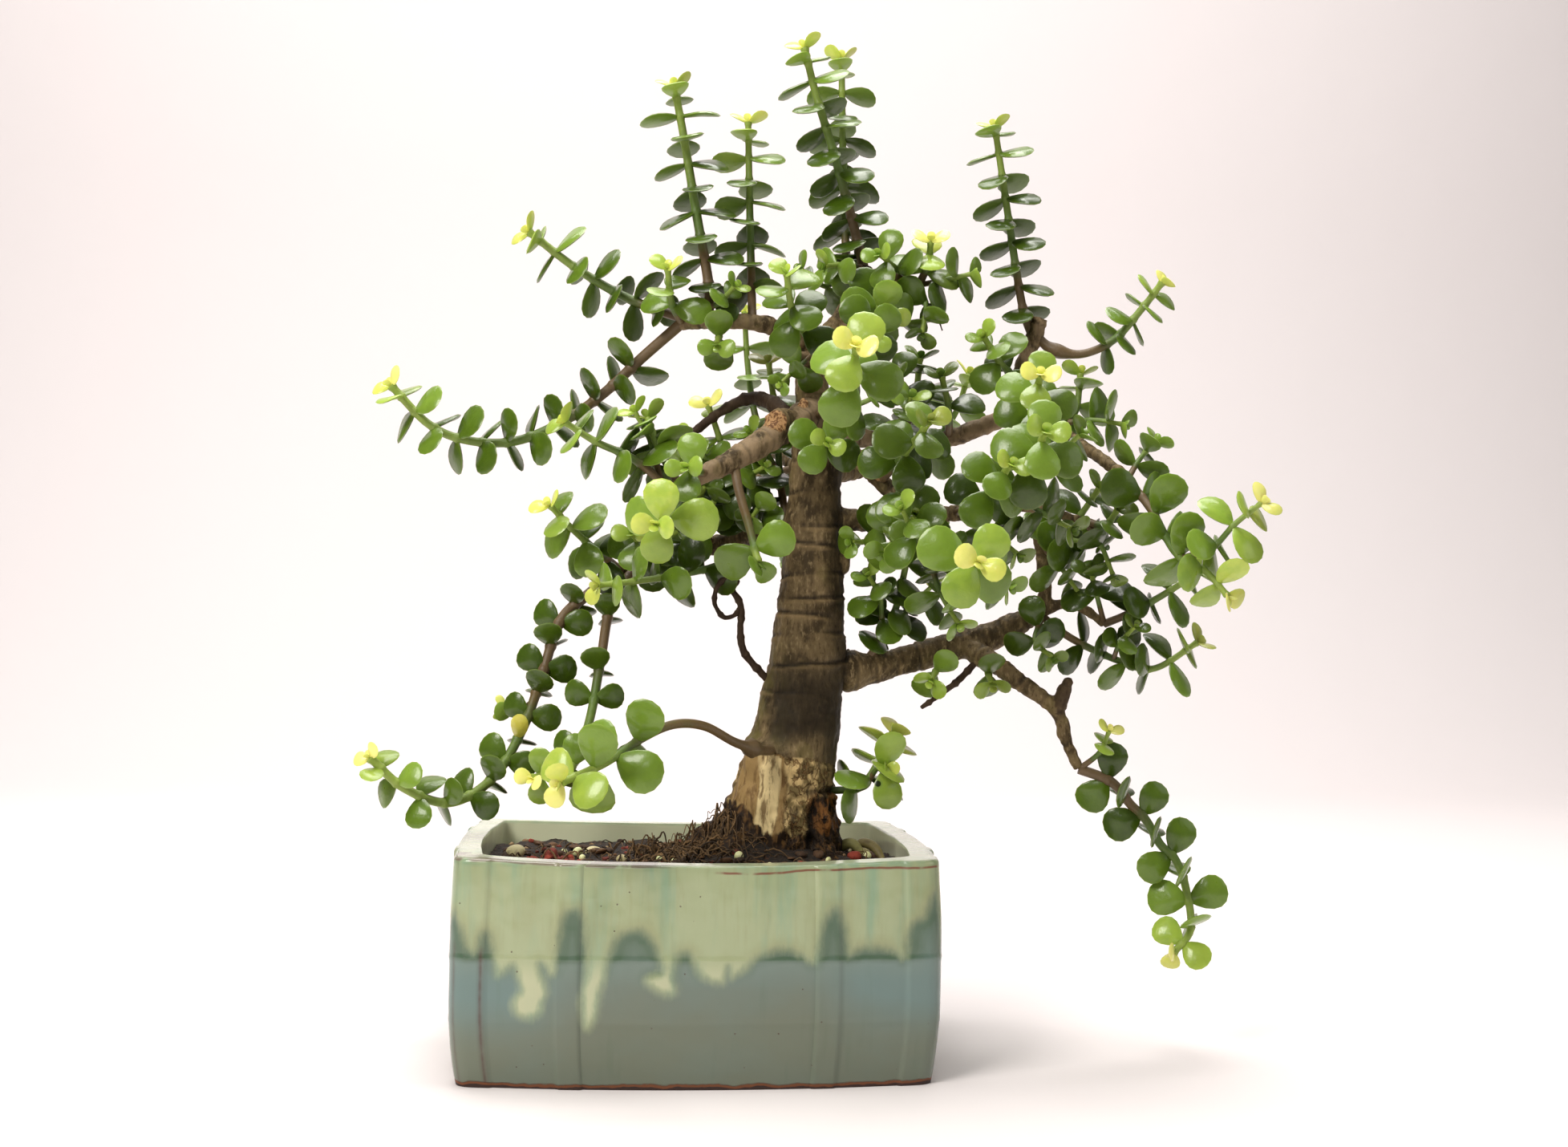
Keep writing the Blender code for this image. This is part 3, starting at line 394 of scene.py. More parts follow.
def tube(name: str, line: Array, radii: Array | float, sides: int) -> Object:
    """A closed tube along a line.

    Args:
        name: The object's name.
        line: The points of its middle, in millimetres.
        radii: Its radius at each point.
        sides: How many sides it has.

    Returns:
        The mesh object.
    """
    curve = bpy.data.curves.new(name, "CURVE")
    curve.dimensions = "3D"
    curve.bevel_depth = MM
    curve.bevel_resolution = max(0, sides // 2 - 2)
    curve.use_fill_caps = True
    spline = curve.splines.new("POLY")
    spline.points.add(len(line) - 1)
    spline.points.foreach_set("co", np.hstack([line[:, :3] * MM, np.ones((len(line), 1))]).ravel())
    spline.points.foreach_set("radius", np.broadcast_to(radii, len(line)).astype(float))
    obj = bpy.data.objects.new(name, curve)
    bpy.context.collection.objects.link(obj)
    select_only(obj)
    bpy.ops.object.convert(target="MESH")
    close_and_turn_out(obj, 0.001)
    return obj


def hand_in(obj: Object, slot: Slot, material: bpy.types.Material, *nodes: str) -> Object:
    """Dresses a piece, ties it to the body and says which CAD nodes it stands for.

    Args:
        obj: The finished piece.
        slot: Its material slot.
        material: What it is dressed in, unless it already has materials of its own.
        nodes: The CAD nodes that it replaces.

    Returns:
        The piece.
    """
    if not obj.data.materials:
        obj.data.materials.append(material)
    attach(obj, BODY)
    if nodes:
        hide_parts(*nodes)
    LOG.info("%s: %d vertices, slot %s, replaces %s", obj.name, len(obj.data.vertices), slot.value, nodes)
    return obj


# Pot

# Where the cream glaze ends on the front face, as points across and up it
FRONT_RUNS = (
    (-89.1, 62.6), (-85.7, 57.4), (-83.6, 50.9), (-81.2, 48.8), (-79.2, 50.9), (-77.5, 56.6), (-75.3, 54.4),
    (-73.8, 47.2), (-72.5, 40.6), (-70.7, 42), (-66.9, 44), (-65.3, 40.8), (-64.1, 35.8), (-66.7, 31.5),
    (-65.8, 27.2), (-61.2, 25.4), (-56.6, 27.4), (-55.6, 31.1), (-54.4, 35.1), (-56, 40.6), (-57.4, 45.2),
    (-55.6, 44.6), (-52.5, 41.5), (-51.3, 46.3), (-50.4, 54.3), (-49.2, 61.5), (-46.3, 65), (-42.6, 63),
    (-41, 54.4), (-40.5, 45.8), (-41.7, 37.2), (-42.3, 30.6), (-40, 22), (-36.7, 26.8), (-35.4, 32.7),
    (-33.7, 41.3), (-31.8, 49.2), (-29, 55.2), (-22.7, 57.9), (-17.4, 54.6), (-14.8, 48.7), (-13.5, 42.8),
    (-18.5, 41.1), (-17.8, 37.8), (-12.4, 34.7), (-8.1, 35.9), (-9.1, 41.1), (-8.7, 44.8), (-6.7, 49.4),
    (-3.3, 49), (-0.3, 42.8), (4.1, 39.4), (6.8, 38.7), (9.1, 39.5), (10.4, 45.3), (11.8, 40.7),
    (13.7, 41.4), (16.7, 43.5), (19.7, 47), (28.7, 50.5), (36.8, 48.9), (41.7, 45.7), (43.1, 47.8),
    (44.9, 58.4), (47.5, 63.7), (49.6, 65.7), (51.9, 62.9), (53.5, 54.3), (55, 48.6), (58.6, 50.6),
    (64.1, 50.9), (69.6, 50.3), (73.1, 48.6), (75.6, 47.4), (77, 53.9), (78.2, 59.2), (80.6, 60.7),
    (82.7, 61.7), (84.8, 66.5), (87.9, 69.1),
)


@dataclass(frozen=True)
class GlazeFinish:
    """Cream glaze that has run down over a blue-grey one, with a bare foot, and an inner wall painted lighter to make
    up for its shade.
    """

    cream: Colour = (0.63, 0.67, 0.52)
    thick_cream: Colour = (0.73, 0.74, 0.60)
    turquoise: Colour = (0.51, 0.63, 0.52)
    olive: Colour = (0.55, 0.56, 0.39)
    teal: Colour = (0.30, 0.39, 0.30)
    blue: Colour = (0.40, 0.49, 0.47)
    grey: Colour = (0.41, 0.44, 0.37)
    haze: Colour = (0.45, 0.52, 0.48)
    # The inside's pale glaze, set lighter as painted light where the inner wall lies in shade
    inner: Colour = (0.95, 0.97, 0.83)
    iron: Colour = (0.30, 0.19, 0.16)
    rim_red: Colour = (0.47, 0.25, 0.20)
    rim_brown: Colour = (0.44, 0.36, 0.33)
    clay: Colour = (0.45, 0.25, 0.12)
    lowest_clay: Colour = (0.19, 0.11, 0.07)
    roughness: float = 0.13
    foot: float = 2.0

    def material(self) -> bpy.types.Material:
        """Builds the shader from the values that Pot stores on its mesh."""
        graph = Graph("glaze")
        height, across = graph.axis(2), graph.axis(0)
        top = height.between(79.2, 81.2)
        wander = (graph.grain(3.0, 4, (1.0, 1.0, 0.4), 0.6) - 0.5) * 3.4
        edge = graph.value("glaze_edge") + wander
        cover = edge.between(-2.6, 2.8)
        inside = graph.value("inside").clamped()
        streaks = graph.grain(6.5, 4, (1.0, 1.0, 0.13))
        fine = graph.grain(2.0, 3, (1.0, 1.0, 0.12))
        high = height.between(46.0, 60.0)

        cream = graph.mix(streaks.between(0.45, 0.76) * (0.75 - top * 0.15), self.cream, self.turquoise)
        cream = graph.mix(fine.between(0.46, 0.78) * 0.3 * high, cream, self.olive)
        cream = graph.mix(top * graph.grain(7.0, 3).between(0.42, 0.62) * 0.6, cream, self.turquoise)
        shaded = graph.grain(16.0, 2, (1.0, 1.0, 0.35)).between(0.48, 0.72) * 0.3 * high
        cream = graph.mix(shaded, cream, self.olive)
        in_run = height.between(50.0, 38.0) * edge.between(0.5, 3.0)
        cream = graph.mix(in_run * 0.8, cream, self.thick_cream)
        haze = edge.between(6.5, 0.4) * height.between(44.0, 52.0)
        cream = graph.mix(haze * 0.5, cream, self.olive)
        # Painted light: the inside takes the lightened inner colour
        cream = graph.mix(inside, cream, self.inner)

        patches = graph.grain(26.0, 3, (1.0, 1.0, 1.6))
        sideways = across.math("ABSOLUTE").between(38.0, 74.0) * height.between(12.0, 34.0)
        blueness = height.between(20.0, 46.0) * 0.45 + patches * 0.7 - 0.3 + sideways * 0.75
        lower = graph.mix(blueness.clamped(), self.grey, self.blue)
        lower = graph.mix(streaks.between(0.55, 0.8) * 0.25, lower, self.teal)
        shelf = height + (graph.grain(20.0, 2) - 0.5) * 5.0
        lower = graph.mix(shelf.between(36.0, 45.0) * edge.between(-16.0, -3.0) * 0.5, lower, self.haze)
        pool = edge.between(-15.0, -0.5) * shelf.between(45.0, 48.0)
        pool = (pool + edge.between(-5.0, 0.0) * shelf.between(36.0, 44.0) * 0.5).clamped()
        lower = graph.mix(pool * 0.9, lower, self.teal)

        colour = graph.mix(cover, lower, cream)
        specks = graph.cells(5.2).between(0.075, 0.045) * graph.grain(21.0, 1).between(0.5, 0.56)
        worn = (graph.value("wear") * (0.55 + 0.9 * (graph.grain(4.0, 3) - 0.3))).clamped()
        bare_line = across.between(-66.0, -70.0) * height.between(54.0, 50.0)
        colour = graph.mix(worn * (0.55 - bare_line * 0.55), colour, self.teal)
        colour = graph.mix((worn * bare_line + specks * 0.7).clamped(), colour, self.iron)
        dip = (1.0 - across * across * (1.0 / 89.0**2)) * 1.8 + (graph.grain(24.0, 3) - 0.5) * 3.0
        line = (height + dip - 80.4).math("ABSOLUTE").between(0.6, 0.2) * graph.axis(1).between(-60.0, -66.0)
        line = line * across.between(4.0, 9.0) * graph.grain(9.0, 3).between(0.36, 0.52)
        colour = graph.mix(line * 0.85, colour, self.rim_red)
        lip = (height + dip - 82.4).math("ABSOLUTE").between(0.9, 0.3) * graph.axis(1).between(-56.0, -60.0)
        lip = lip * graph.grain(8.0, 3).between(0.38, 0.50) * across.between(-6.0, -20.0)
        colour = graph.mix(lip * 0.75, colour, self.rim_brown)

        bare_edge = height + (graph.grain(9.0, 3) - 0.5) * 3.2
        bare = bare_edge.between(self.foot + 0.35, self.foot - 0.35)
        # The bare clay turns darker towards the bottom
        clay = graph.mix(bare_edge.between(self.foot - 0.9, 0.9), self.clay, self.lowest_clay)
        colour = graph.mix(bare, colour, clay)

        body = cover * 0.5 + graph.grain(13.0, 2) * 0.5 + graph.grain(2.6, 2) * 0.07 - specks * 0.25 - bare * 0.8
        rough = bare * 0.6 + worn * 0.12 + self.roughness + graph.grain(5.0, 2) * 0.05
        coat = {"Coat_Weight": 0.2, "Coat_Roughness": 0.07}
        return graph.finish(Base_Color=colour, Roughness=rough, Normal=graph.bump(body, 0.42), **coat)


@dataclass
class Pot:
    """A rectangular pot with bowed sides, raised ribs, a rounded rim and a recessed foot."""

    width: float = 178.0
    depth: float = 150.0
    height: float = 82.7
    belly_height: float = 34.0
    foot_draw_in: float = 0.035
    rim_draw_in: float = 0.015
    front_bow: float = 8.0
    side_bow: float = 4.0
    rim_dip: float = 1.8
    rim_dip_from: float = 60.0
    wall: float = 9.0
    floor: float = 9.0
    corner: float = 0.055
    lip: float = 1.5
    rib_height: float = 0.9
    rib_half: float = 4.0
    rib_slope: float = 0.9
    front_rib: float = 47.5
    side_rib: float = 38.0
    corner_band: float = 12.5
    groove_at: float = -78.5
    drain_radius: float = 6.0
    drain_at: float = 42.0
    finish: GlazeFinish = field(default_factory=GlazeFinish)

    def belly(self, height: Array) -> Array:
        """How much of the full size the sides keep at this height."""
        below = np.clip((self.belly_height - height) / self.belly_height, 0, 1)
        above = np.clip((height - self.belly_height) / (self.height - self.belly_height), 0, 1)
        return 1 - self.foot_draw_in * below**2 - self.rim_draw_in * above**2

    def at(self, across: Array, back: Array, height: Array, inset: Array | float) -> Array:
        """The points at these shares (-1 to 1) of the plan, inset from the outer face."""
        size = self.belly(height)
        x = across * (self.width / 2 * size - inset + self.side_bow * (1 - back**2))
        y = back * (self.depth / 2 * size - inset + self.front_bow * (1 - across**2))
        risen = np.clip((height - self.rim_dip_from) / (self.height - self.rim_dip_from), 0, 1)
        return np.stack([x, y, height - self.rim_dip * (1 - across**2) * risen], axis=1)

    def rounded(self, across: Array, back: Array) -> tuple[Array, Array]:
        """Draws the corners of the unit square in to quarter circles."""
        reach_across = np.maximum(0, (abs(across) - 1) / self.corner + 1)
        reach_back = np.maximum(0, (abs(back) - 1) / self.corner + 1)
        far = np.maximum(reach_across, reach_back) / np.maximum(np.hypot(reach_across, reach_back), 1e-9)
        flat = 1 - self.corner
        new_across = np.sign(across) * (np.minimum(abs(across), flat) + self.corner * reach_across * far)
        new_back = np.sign(back) * (np.minimum(abs(back), flat) + self.corner * reach_back * far)
        return new_across, new_back

    def stations(self) -> tuple[Array, Array, Array]:
        """The steps round the plan, anticlockwise from the front left corner.

        Returns:
            The way round in millimetres, and the shares across and back, corners still square.
        """
        sides = ((self.width, 0.8), (self.depth, 1.5), (self.width, 1.5), (self.depth, 1.5))
        shares = [np.linspace(-1, 1, round(side / step), endpoint=False) for side, step in sides]
        start, way = -self.width / 2, []
        for (side, _), share in zip(sides, shares):
            way.append(start + (share + 1) * side / 2)
            start += side
        front, right, behind, left = shares
        across = np.concatenate([front, np.ones_like(right), -behind, -np.ones_like(left)])
        back = np.concatenate([-np.ones_like(front), right, np.ones_like(behind), -left])
        return np.concatenate(way), across, back

    def section(self) -> Array:
        """The wall's section from its foot over the rim to the floor: height, inset, relief, inside."""
        lip_start = self.height - self.lip
        outer = [(h, 0.0, 1.0, 0.0) for h in np.concatenate([[0.0, 0.35], np.linspace(0.9, lip_start, 86)])]
        turn = np.linspace(0, math.pi / 2, 6)[1:]
        outer_lip = [
            (lip_start + self.lip * math.sin(a), self.lip * (1 - math.cos(a)), 1.0, 0.0) for a in turn
        ]
        inner_start = self.wall - 0.35
        insets = np.linspace(self.lip, inner_start, 8)[1:]
        top = [(self.height, inset, 1 - inset / self.wall, 0.0) for inset in insets]
        inner = [(self.height - 0.4, self.wall - 0.1, 0.0, 0.3), (self.height - self.lip, self.wall, 0.0, 1.0)]
        deep = [(h, self.wall, 0.0, 1.0) for h in np.linspace(self.height - 4, self.floor, 24)]
        return np.array(outer + outer_lip + top + inner + deep)

    def relief(self, offset: Array, half: float, rib: float) -> Array:
        """The height of ribs and corner bands along a face, as a share of the rib height."""
        offset = abs(offset)
        band = np.clip((offset - (half - self.corner_band)) / self.rib_slope, 0, 1)
        raised = np.clip((self.rib_half + self.rib_slope - abs(offset - rib)) / self.rib_slope, 0, 1)
        return np.maximum(band, raised)

    def runs(self) -> Array:
        """The lower edge of the cream glaze all the way round: way round and height."""
        rng = random.Random("glaze runs")
        edge = [(x / self.belly(z), z) for x, z in FRONT_RUNS]
        end = 1.5 * self.width + 2 * self.depth
        way = self.width / 2 + 5
        while way < end - 14:
            low, high = rng.uniform(28, 44), rng.uniform(50, 62)
            drip, gap = rng.uniform(2.6, 5.4), rng.uniform(4.5, 11)
            edge += [(way - 0.3, low + 9), (way, low + 2.5), (way + drip / 2, low)]
            edge += [(way + drip, low + 3), (way + drip + 0.8, low + 11), (way + drip + gap / 2 + 1, high)]
            way += drip + gap + 2
        edge.append((edge[0][0] + 2 * (self.width + self.depth), edge[0][1]))
        return curve_through(edge, 1.2)

    def edge_distance(self, way: Array, height: Array) -> Array:
        """How far each point is above the cream glaze's edge in millimetres, negative below it."""
        route = self.runs()
        around = 2 * (self.width + self.depth)
        route = np.vstack([route[:-1] - (around, 0), route, route[1:] + (around, 0)])
        route = route[(route[:, 0] > way.min() - 30) & (route[:, 0] < way.max() + 30)]
        start, step = route[:-1], np.diff(route, axis=0)
        signed = []
        for x, z in zip(way, height):
            along = (x - start[:, 0]) * step[:, 0] + (z - start[:, 1]) * step[:, 1]
            share = np.clip(along / (step**2).sum(axis=1), 0, 1)
            away = np.hypot(start[:, 0] + share * step[:, 0] - x, start[:, 1] + share * step[:, 1] - z)
            crossed = (start[:, 0] <= x) != (start[:, 0] + step[:, 0] <= x)
            meets = start[crossed, 1] + (x - start[crossed, 0]) / step[crossed, 0] * step[crossed, 1]
            signed.append(away.min() * (1 if (meets < z).sum() % 2 else -1))
        return np.array(signed)

    def wear(self, way: Array, section: Array) -> Array:
        """Where the glaze is thin over an edge and the iron shows, from 0 to 1.

        Args:
            way: Each point's way round the pot.
            section: Each point's height, inset, relief and inside.

        Returns:
            The value of each point.
        """
        height, inset, outer = section[:, 0], section[:, 1], section[:, 3] < 0.1
        low = smooth_step(height, 53, 48)
        groove = bell(way - self.groove_at, 0.75) * low
        ribs = sum(bell(abs(way) - edge, 0.7) for edge in (42.7, 52.4)) * low * 0.3
        side = (way - self.width / 2) % (self.width + self.depth)
        corners = sum(bell(side - at, 1.0) for at in (0, self.depth, self.width + self.depth))
        line = bell(inset - 0.5, 0.45) * (height > self.height - self.lip - 1)
        rim = line * np.where(abs(way) < self.width / 2, 0.35 + 0.5 * smooth_step(way, 2, 12), 0.5)
        return np.where(outer, np.clip(groove + ribs + 0.55 * corners + rim, 0, 1), 0.0)

    def build(self) -> Object:
        """Builds, dresses and hands in the pot."""
        way, across, back = self.stations()
        section = self.section()
        bpy.ops.mesh.primitive_grid_add(x_subdivisions=len(way), y_subdivisions=len(section) - 1, size=2)
        pot = bpy.context.object
        pot.name = "bowed_pot"
        closed = np.append(np.arange(len(way)), 0)
        rows, steps = np.repeat(np.arange(len(section)), len(closed)), np.tile(closed, len(section))
        way, across, back, level = way[steps], across[steps], back[steps], section[rows]
        round_across, round_back = self.rounded(across, back)
        points = self.at(round_across, round_back, level[:, 0], level[:, 1])
        at_front = np.clip((abs(round_back) - 1) / self.corner + 1, 0, 1)
        at_side = np.clip((abs(round_across) - 1) / self.corner + 1, 0, 1)
        half_width, half_depth = self.width / 2, self.depth / 2
        proud = self.rib_height * level[:, 2]
        front_relief = self.relief(round_across * half_width, half_width, self.front_rib)
        side_relief = self.relief(round_back * half_depth, half_depth, self.side_rib)
        points[:, 1] += np.sign(round_back) * proud * at_front * front_relief
        points[:, 0] += np.sign(round_across) * proud * at_side * side_relief
        move_points(pot, points)

        height = level[:, 0]
        seams = 0.2 * bell(height - 46.5, 1.1) + 0.14 * bell(height - 24, 1.1)
        groove = 0.35 * bell(way - self.groove_at, 0.9) * smooth_step(height, 53, 48)
        uneven = 0.28 * noise_at(points, 24.0) + 0.07 * noise_at(points, 5.0, 3.0)
        shown = smooth_step(height, 0.0, 4.0) * (1 - level[:, 3])
        edge = np.where(level[:, 1] > 0.8, 20.0, self.edge_distance(way, height))
        run = 0.16 * smooth_step(edge, -0.6, 1.2) * np.where(level[:, 1] > 0.8, 0.0, 1.0)
        away = shown * (uneven + seams - groove + run)
        move_points(pot, points + normals_of(pot) * np.where(shown > 0, away, 0.0)[:, None] * self.outward(pot))
        give_values(pot, "glaze_edge", edge)
        give_values(pot, "inside", np.maximum(level[:, 3], smooth_step(level[:, 1], 0.5, 3.0) * 0.25))
        give_values(pot, "wear", self.wear(way, level))
        close_and_turn_out(pot, 0.01)
        self.cut_underside(pot)
        shade_by_angle(pot, 40)
        return hand_in(pot, Slot.GLAZE, self.finish.material(), "pot")

    @staticmethod
    def outward(pot: Object) -> int:
        """1 where the fresh grid's normals point out of the pot, otherwise -1."""
        front = points_of(pot)[:, 1].argmin()
        return -1 if normals_of(pot)[front, 1] > 0 else 1

    def cut_underside(self, pot: Object) -> None:
        """Cuts the two hollows of the underside and the two drainage holes."""
        foot_ring, foot_bar, recess = 12.0, 24.0, 3.0
        outer = self.width / 2 * float(self.belly(0.0)) - foot_ring
        deep = 2 * (self.depth / 2 * float(self.belly(0.0)) - foot_ring)
        cutters = []
        for side in (-1, 1):
            bpy.ops.mesh.primitive_cube_add(size=1, location=(side * (outer + foot_bar / 2) / 2 * MM, 0, 0))
            bpy.ops.transform.resize(value=((outer - foot_bar / 2) * MM, deep * MM, 2 * recess * MM))
            cutters.append(bpy.context.object)
            hole = {"radius": self.drain_radius * MM, "depth": 4 * self.floor * MM}
            bpy.ops.mesh.primitive_cylinder_add(vertices=48, location=(side * self.drain_at * MM, 0, 0), **hole)
            cutters.append(bpy.context.object)
        for cutter in cutters:
            add_modifier(pot, "BOOLEAN", operation="DIFFERENCE", solver="EXACT", object=cutter)
            bpy.data.objects.remove(cutter)


# Soil


@dataclass(frozen=True)
class SoilFinish:
    """Damp bark and peat, nearly black between its crumbs, where the peat's own dark is deepened by painted shade."""

    dark: Colour = (0.09, 0.06, 0.035)
    brown: Colour = (0.23, 0.155, 0.09)
    rust: Colour = (0.33, 0.19, 0.10)

    def material(self) -> bpy.types.Material:
        """Builds the shader."""
        graph = Graph("soil")
        crumbs = graph.grain(1.6, 4, rough=0.65)
        clods = graph.cells(2.4)
        # Darkest in the crumbs' hollows: the peat's own dark and painted shade
        colour = graph.mix(crumbs.between(0.42, 0.68), self.dark, self.brown)
        rusty = graph.grain(9.0, 2).between(0.55, 0.7) * crumbs.between(0.5, 0.62) * 0.8
        colour = graph.mix(rusty, colour, self.rust)
        height = crumbs * 0.7 - clods * 0.5 + graph.grain(0.7, 2) * 0.3
        return graph.finish(Base_Color=colour, Roughness=0.85, Normal=graph.bump(height, 1.1))


@dataclass(frozen=True)
class GritFinish:
    """One kind of grain, stone or bead, its colour varied from grain to grain."""

    name: str
    colour: Colour
    other: Colour
    dusty: Colour
    roughness: float = 0.8
    rough_size: float = 0.6
    depth: float = 0.25

    def material(self) -> bpy.types.Material:
        """Builds the shader."""
        graph = Graph(self.name)
        colour = graph.mix(graph.value("tint").clamped(), self.colour, self.other)
        skin = graph.grain(self.rough_size * 2, 4, rough=0.6)
        colour = graph.mix(skin.between(0.5, 0.72) * 0.6, colour, self.dusty)
        normal = graph.bump(graph.grain(self.rough_size, 3), self.depth)
        return graph.finish(Base_Color=colour, Roughness=self.roughness, Normal=normal)


BARK_CHIP = GritFinish("bark_chip", (0.15, 0.095, 0.06), (0.42, 0.29, 0.17), (0.10, 0.07, 0.04))
LAVA = GritFinish("lava", (0.60, 0.22, 0.14), (0.42, 0.17, 0.12), (0.22, 0.11, 0.08))
TAN_GRIT = GritFinish("tan_grit", (0.60, 0.50, 0.35), (0.44, 0.33, 0.22), (0.30, 0.22, 0.15))
# Pebbles and beads are pale, and set lighter still as painted light that makes up for the shade inside the pot
PEBBLE = GritFinish("pebble", (0.97, 0.92, 0.72), (0.76, 0.70, 0.50), (0.50, 0.40, 0.26), 0.6, 1.1)
BEAD = GritFinish("bead", (0.97, 0.97, 0.74), (0.88, 0.90, 0.66), (0.74, 0.70, 0.44), 0.28, 1.5, 0.05)
FIBRE = GritFinish("fibre", (0.16, 0.11, 0.06), (0.52, 0.40, 0.25), (0.08, 0.05, 0.03), 0.8, 0.8)
PEEL = GritFinish("bark_peel", (0.56, 0.54, 0.32), (0.50, 0.45, 0.27), (0.32, 0.26, 0.16), 0.6, 1.6)
BLACK_PLASTIC = GritFinish("black_plastic", (0.1, 0.1, 0.1), (0.1, 0.1, 0.1), (0.13, 0.13, 0.13), 0.6)


@dataclass
class Soil:
    """The soil's body and everything that lies on it."""

    pot: Pot
    level: float = 73.0
    gap: float = 0.3
    ripple: float = 0.8
    columns: int = 150
    rows: int = 124
    screen_half: float = 13.0
    screen_gap: float = 1.6
    half_sizes: tuple[float, float] = (76.0, 62.0)
    lava_count: int = 70
    lava_heap: int = 14
    tan_count: int = 120
    chip_count: int = 170
    fibre_count: int = 560
    fibre_steps: int = 9
    mound: tuple[float, ...] = (28.0, -4.0, 12.0, 32.0, 30.0)
    clump: tuple[float, ...] = (14.0, -6.0, 8.0, 9.0, 12.0)
    trunk: Triple = (35.0, 0.0, 25.5)
    pebbles: tuple[Triple, ...] = (
        (-71, 10, 4.6), (-28, -12, 2.8), (69, 12, 5.0), (-40, 30, 3.4), (10, 48, 4.0),
    )
    red_stones: tuple[Triple, ...] = ((-56, 2, 3.6), (64, -14, 3.0), (-62, -38, 3.4))
    beads: tuple[Triple, ...] = (
        (-46, 10, 2.2), (-13, -21, 1.9), (-8, -24, 1.9), (-3, 44, 1.9), (17, -32, 2.0), (62, 34, 1.9),
        (-34, -30, 1.9), (-44, 4, 1.5), (52, -30, 1.5), (2, -40, 1.6), (-40, -36, 2.0), (-20, -44, 2.2),
        (-24, -34, 1.8), (-66, -24, 1.7), (-10, -50, 1.9), (-52, 22, 2.2), (28, -44, 1.9), (70, -8, 1.8),
    )
    tufts: tuple[Triple, ...] = (
        (-18, -2, 2.6), (-10, -6, 1.8), (-2, -4, 2.8), (7, -10, 3.0), (12, -16, 2.6), (2, -20, 1.6),
    )
    peels: tuple[tuple[tuple[float, float, float, float], ...], ...] = (
        ((59, 4, 75, 1.6), (61, 0, 79.5, 2.1), (65, -2, 80.5, 2.2), (69, -4, 76, 1.2)),
        ((66, 4, 76, 1.4), (69, 2, 80.5, 1.9), (74, 0, 79, 2.0), (77, -4, 74.5, 1.1)),
    )

    def height_at(self, x: Array, y: Array) -> Array:
        """The height of the soil's top, as heaped as in the CAD part."""
        ripple = np.sin(0.31 * x + 0.9) * np.cos(0.27 * y) + 0.6 * np.sin(0.19 * (x - y))
        height = self.level + self.ripple * ripple
        for middle_x, middle_y, rise, wide, deep in (self.mound, self.clump):
            height = height + rise * np.exp(-(((x - middle_x) / wide) ** 2) - ((y - middle_y) / deep) ** 2)
        return height

    def crumbly(self, x: Array, y: Array) -> Array:
        """The top with its clods and crumbs."""
        flat = np.stack([x, y, np.zeros_like(x)], axis=1)
        clods = 0.75 * noise_at(flat, 6.0) + 0.55 * noise_at(flat, 2.6, 5.0)
        return self.height_at(x, y) + clods + 0.5 * abs(noise_at(flat, 1.5, 9.0))

    def build(self) -> None:
        """Builds the body of soil, then its grit."""
        bpy.ops.mesh.primitive_grid_add(x_subdivisions=self.columns, y_subdivisions=self.rows, size=2)
        soil = bpy.context.object
        soil.name = "potting_soil"
        select_only(soil)
        bpy.ops.object.mode_set(mode="EDIT")
        bpy.ops.mesh.select_all(action="SELECT")
        bpy.ops.mesh.extrude_region_move(TRANSFORM_OT_translate={"value": (0, 0, 1)})
        bpy.ops.object.mode_set(mode="OBJECT")
        share = points_of(soil) * MM
        across, back = self.pot.rounded(share[:, 0], share[:, 1])
        on_top = share[:, 2] > 0.5
        bottom = self.pot.floor + self.gap
        inset = self.pot.wall + self.gap
        low = self.pot.at(across, back, np.full(len(share), bottom), inset)
        top = self.pot.at(across, back, np.full(len(share), self.level), inset)
        top[:, 2] = self.crumbly(top[:, 0], top[:, 1])
        half = self.screen_half
        above_screen = (abs(abs(low[:, 0]) - self.pot.drain_at) < half) & (abs(low[:, 1]) < half)
        low[:, 2] = np.where(above_screen, bottom + self.screen_gap, bottom)
        move_points(soil, np.where(on_top[:, None], top, low))
        close_and_turn_out(soil)
        shade_by_angle(soil, 60)
        hand_in(soil, Slot.SOIL, SoilFinish().material(), "soil")
        self.scatter()

    def stone(self, radius: float, flat: float, lumpy: float, rng: random.Random, rings: int = 8) -> Object:
        """One rounded, uneven grain at the origin.

        Args:
            radius: Half its length.
            flat: Its height as a share of its length.
            lumpy: How uneven it is.
            rng: Where its shape comes from.
            rings: How finely it is divided.

        Returns:
            The grain.
        """
        bpy.ops.mesh.primitive_uv_sphere_add(segments=rings + 4, ring_count=rings, radius=radius * MM)
        grain = bpy.context.object
        points = points_of(grain)
        seed = rng.uniform(0, 90)
        points *= 1 + lumpy * noise_at(points, radius * 1.1, seed)[:, None]
        points *= (1.0, rng.uniform(0.62, 0.95), flat)
        move_points(grain, points)
        give_values(grain, "tint", rng.random())
        return grain

    def seat(self, grain: Object, x: float, y: float, up: float, rng: random.Random) -> Object:
        """Turns a grain at random and lays it on the soil, its middle this far above the surface."""
        here, there = np.array([x]), np.array([y])
        turn = Matrix.Rotation(rng.uniform(0, math.tau), 4, "Z") @ Matrix.Rotation(rng.uniform(-0.5, 0.5), 4, "X")
        height = float(self.crumbly(here, there)[0]) + up
        grain.data.transform(Matrix.Translation(Vector((x, y, height)) * MM) @ turn)
        return grain

    def spots(self, count: int, rng: random.Random) -> Iterator[tuple[float, float]]:
        """Random places on the soil clear of the trunk and the wall."""
        found = 0
        middle_x, middle_y, radius = self.trunk
        half_x, half_y = self.half_sizes
        while found < count:
            x, y = rng.uniform(-half_x, half_x), rng.uniform(-half_y, half_y)
            if math.hypot(x - middle_x, y - middle_y) > radius + 1.5:
                found += 1
                yield x, y

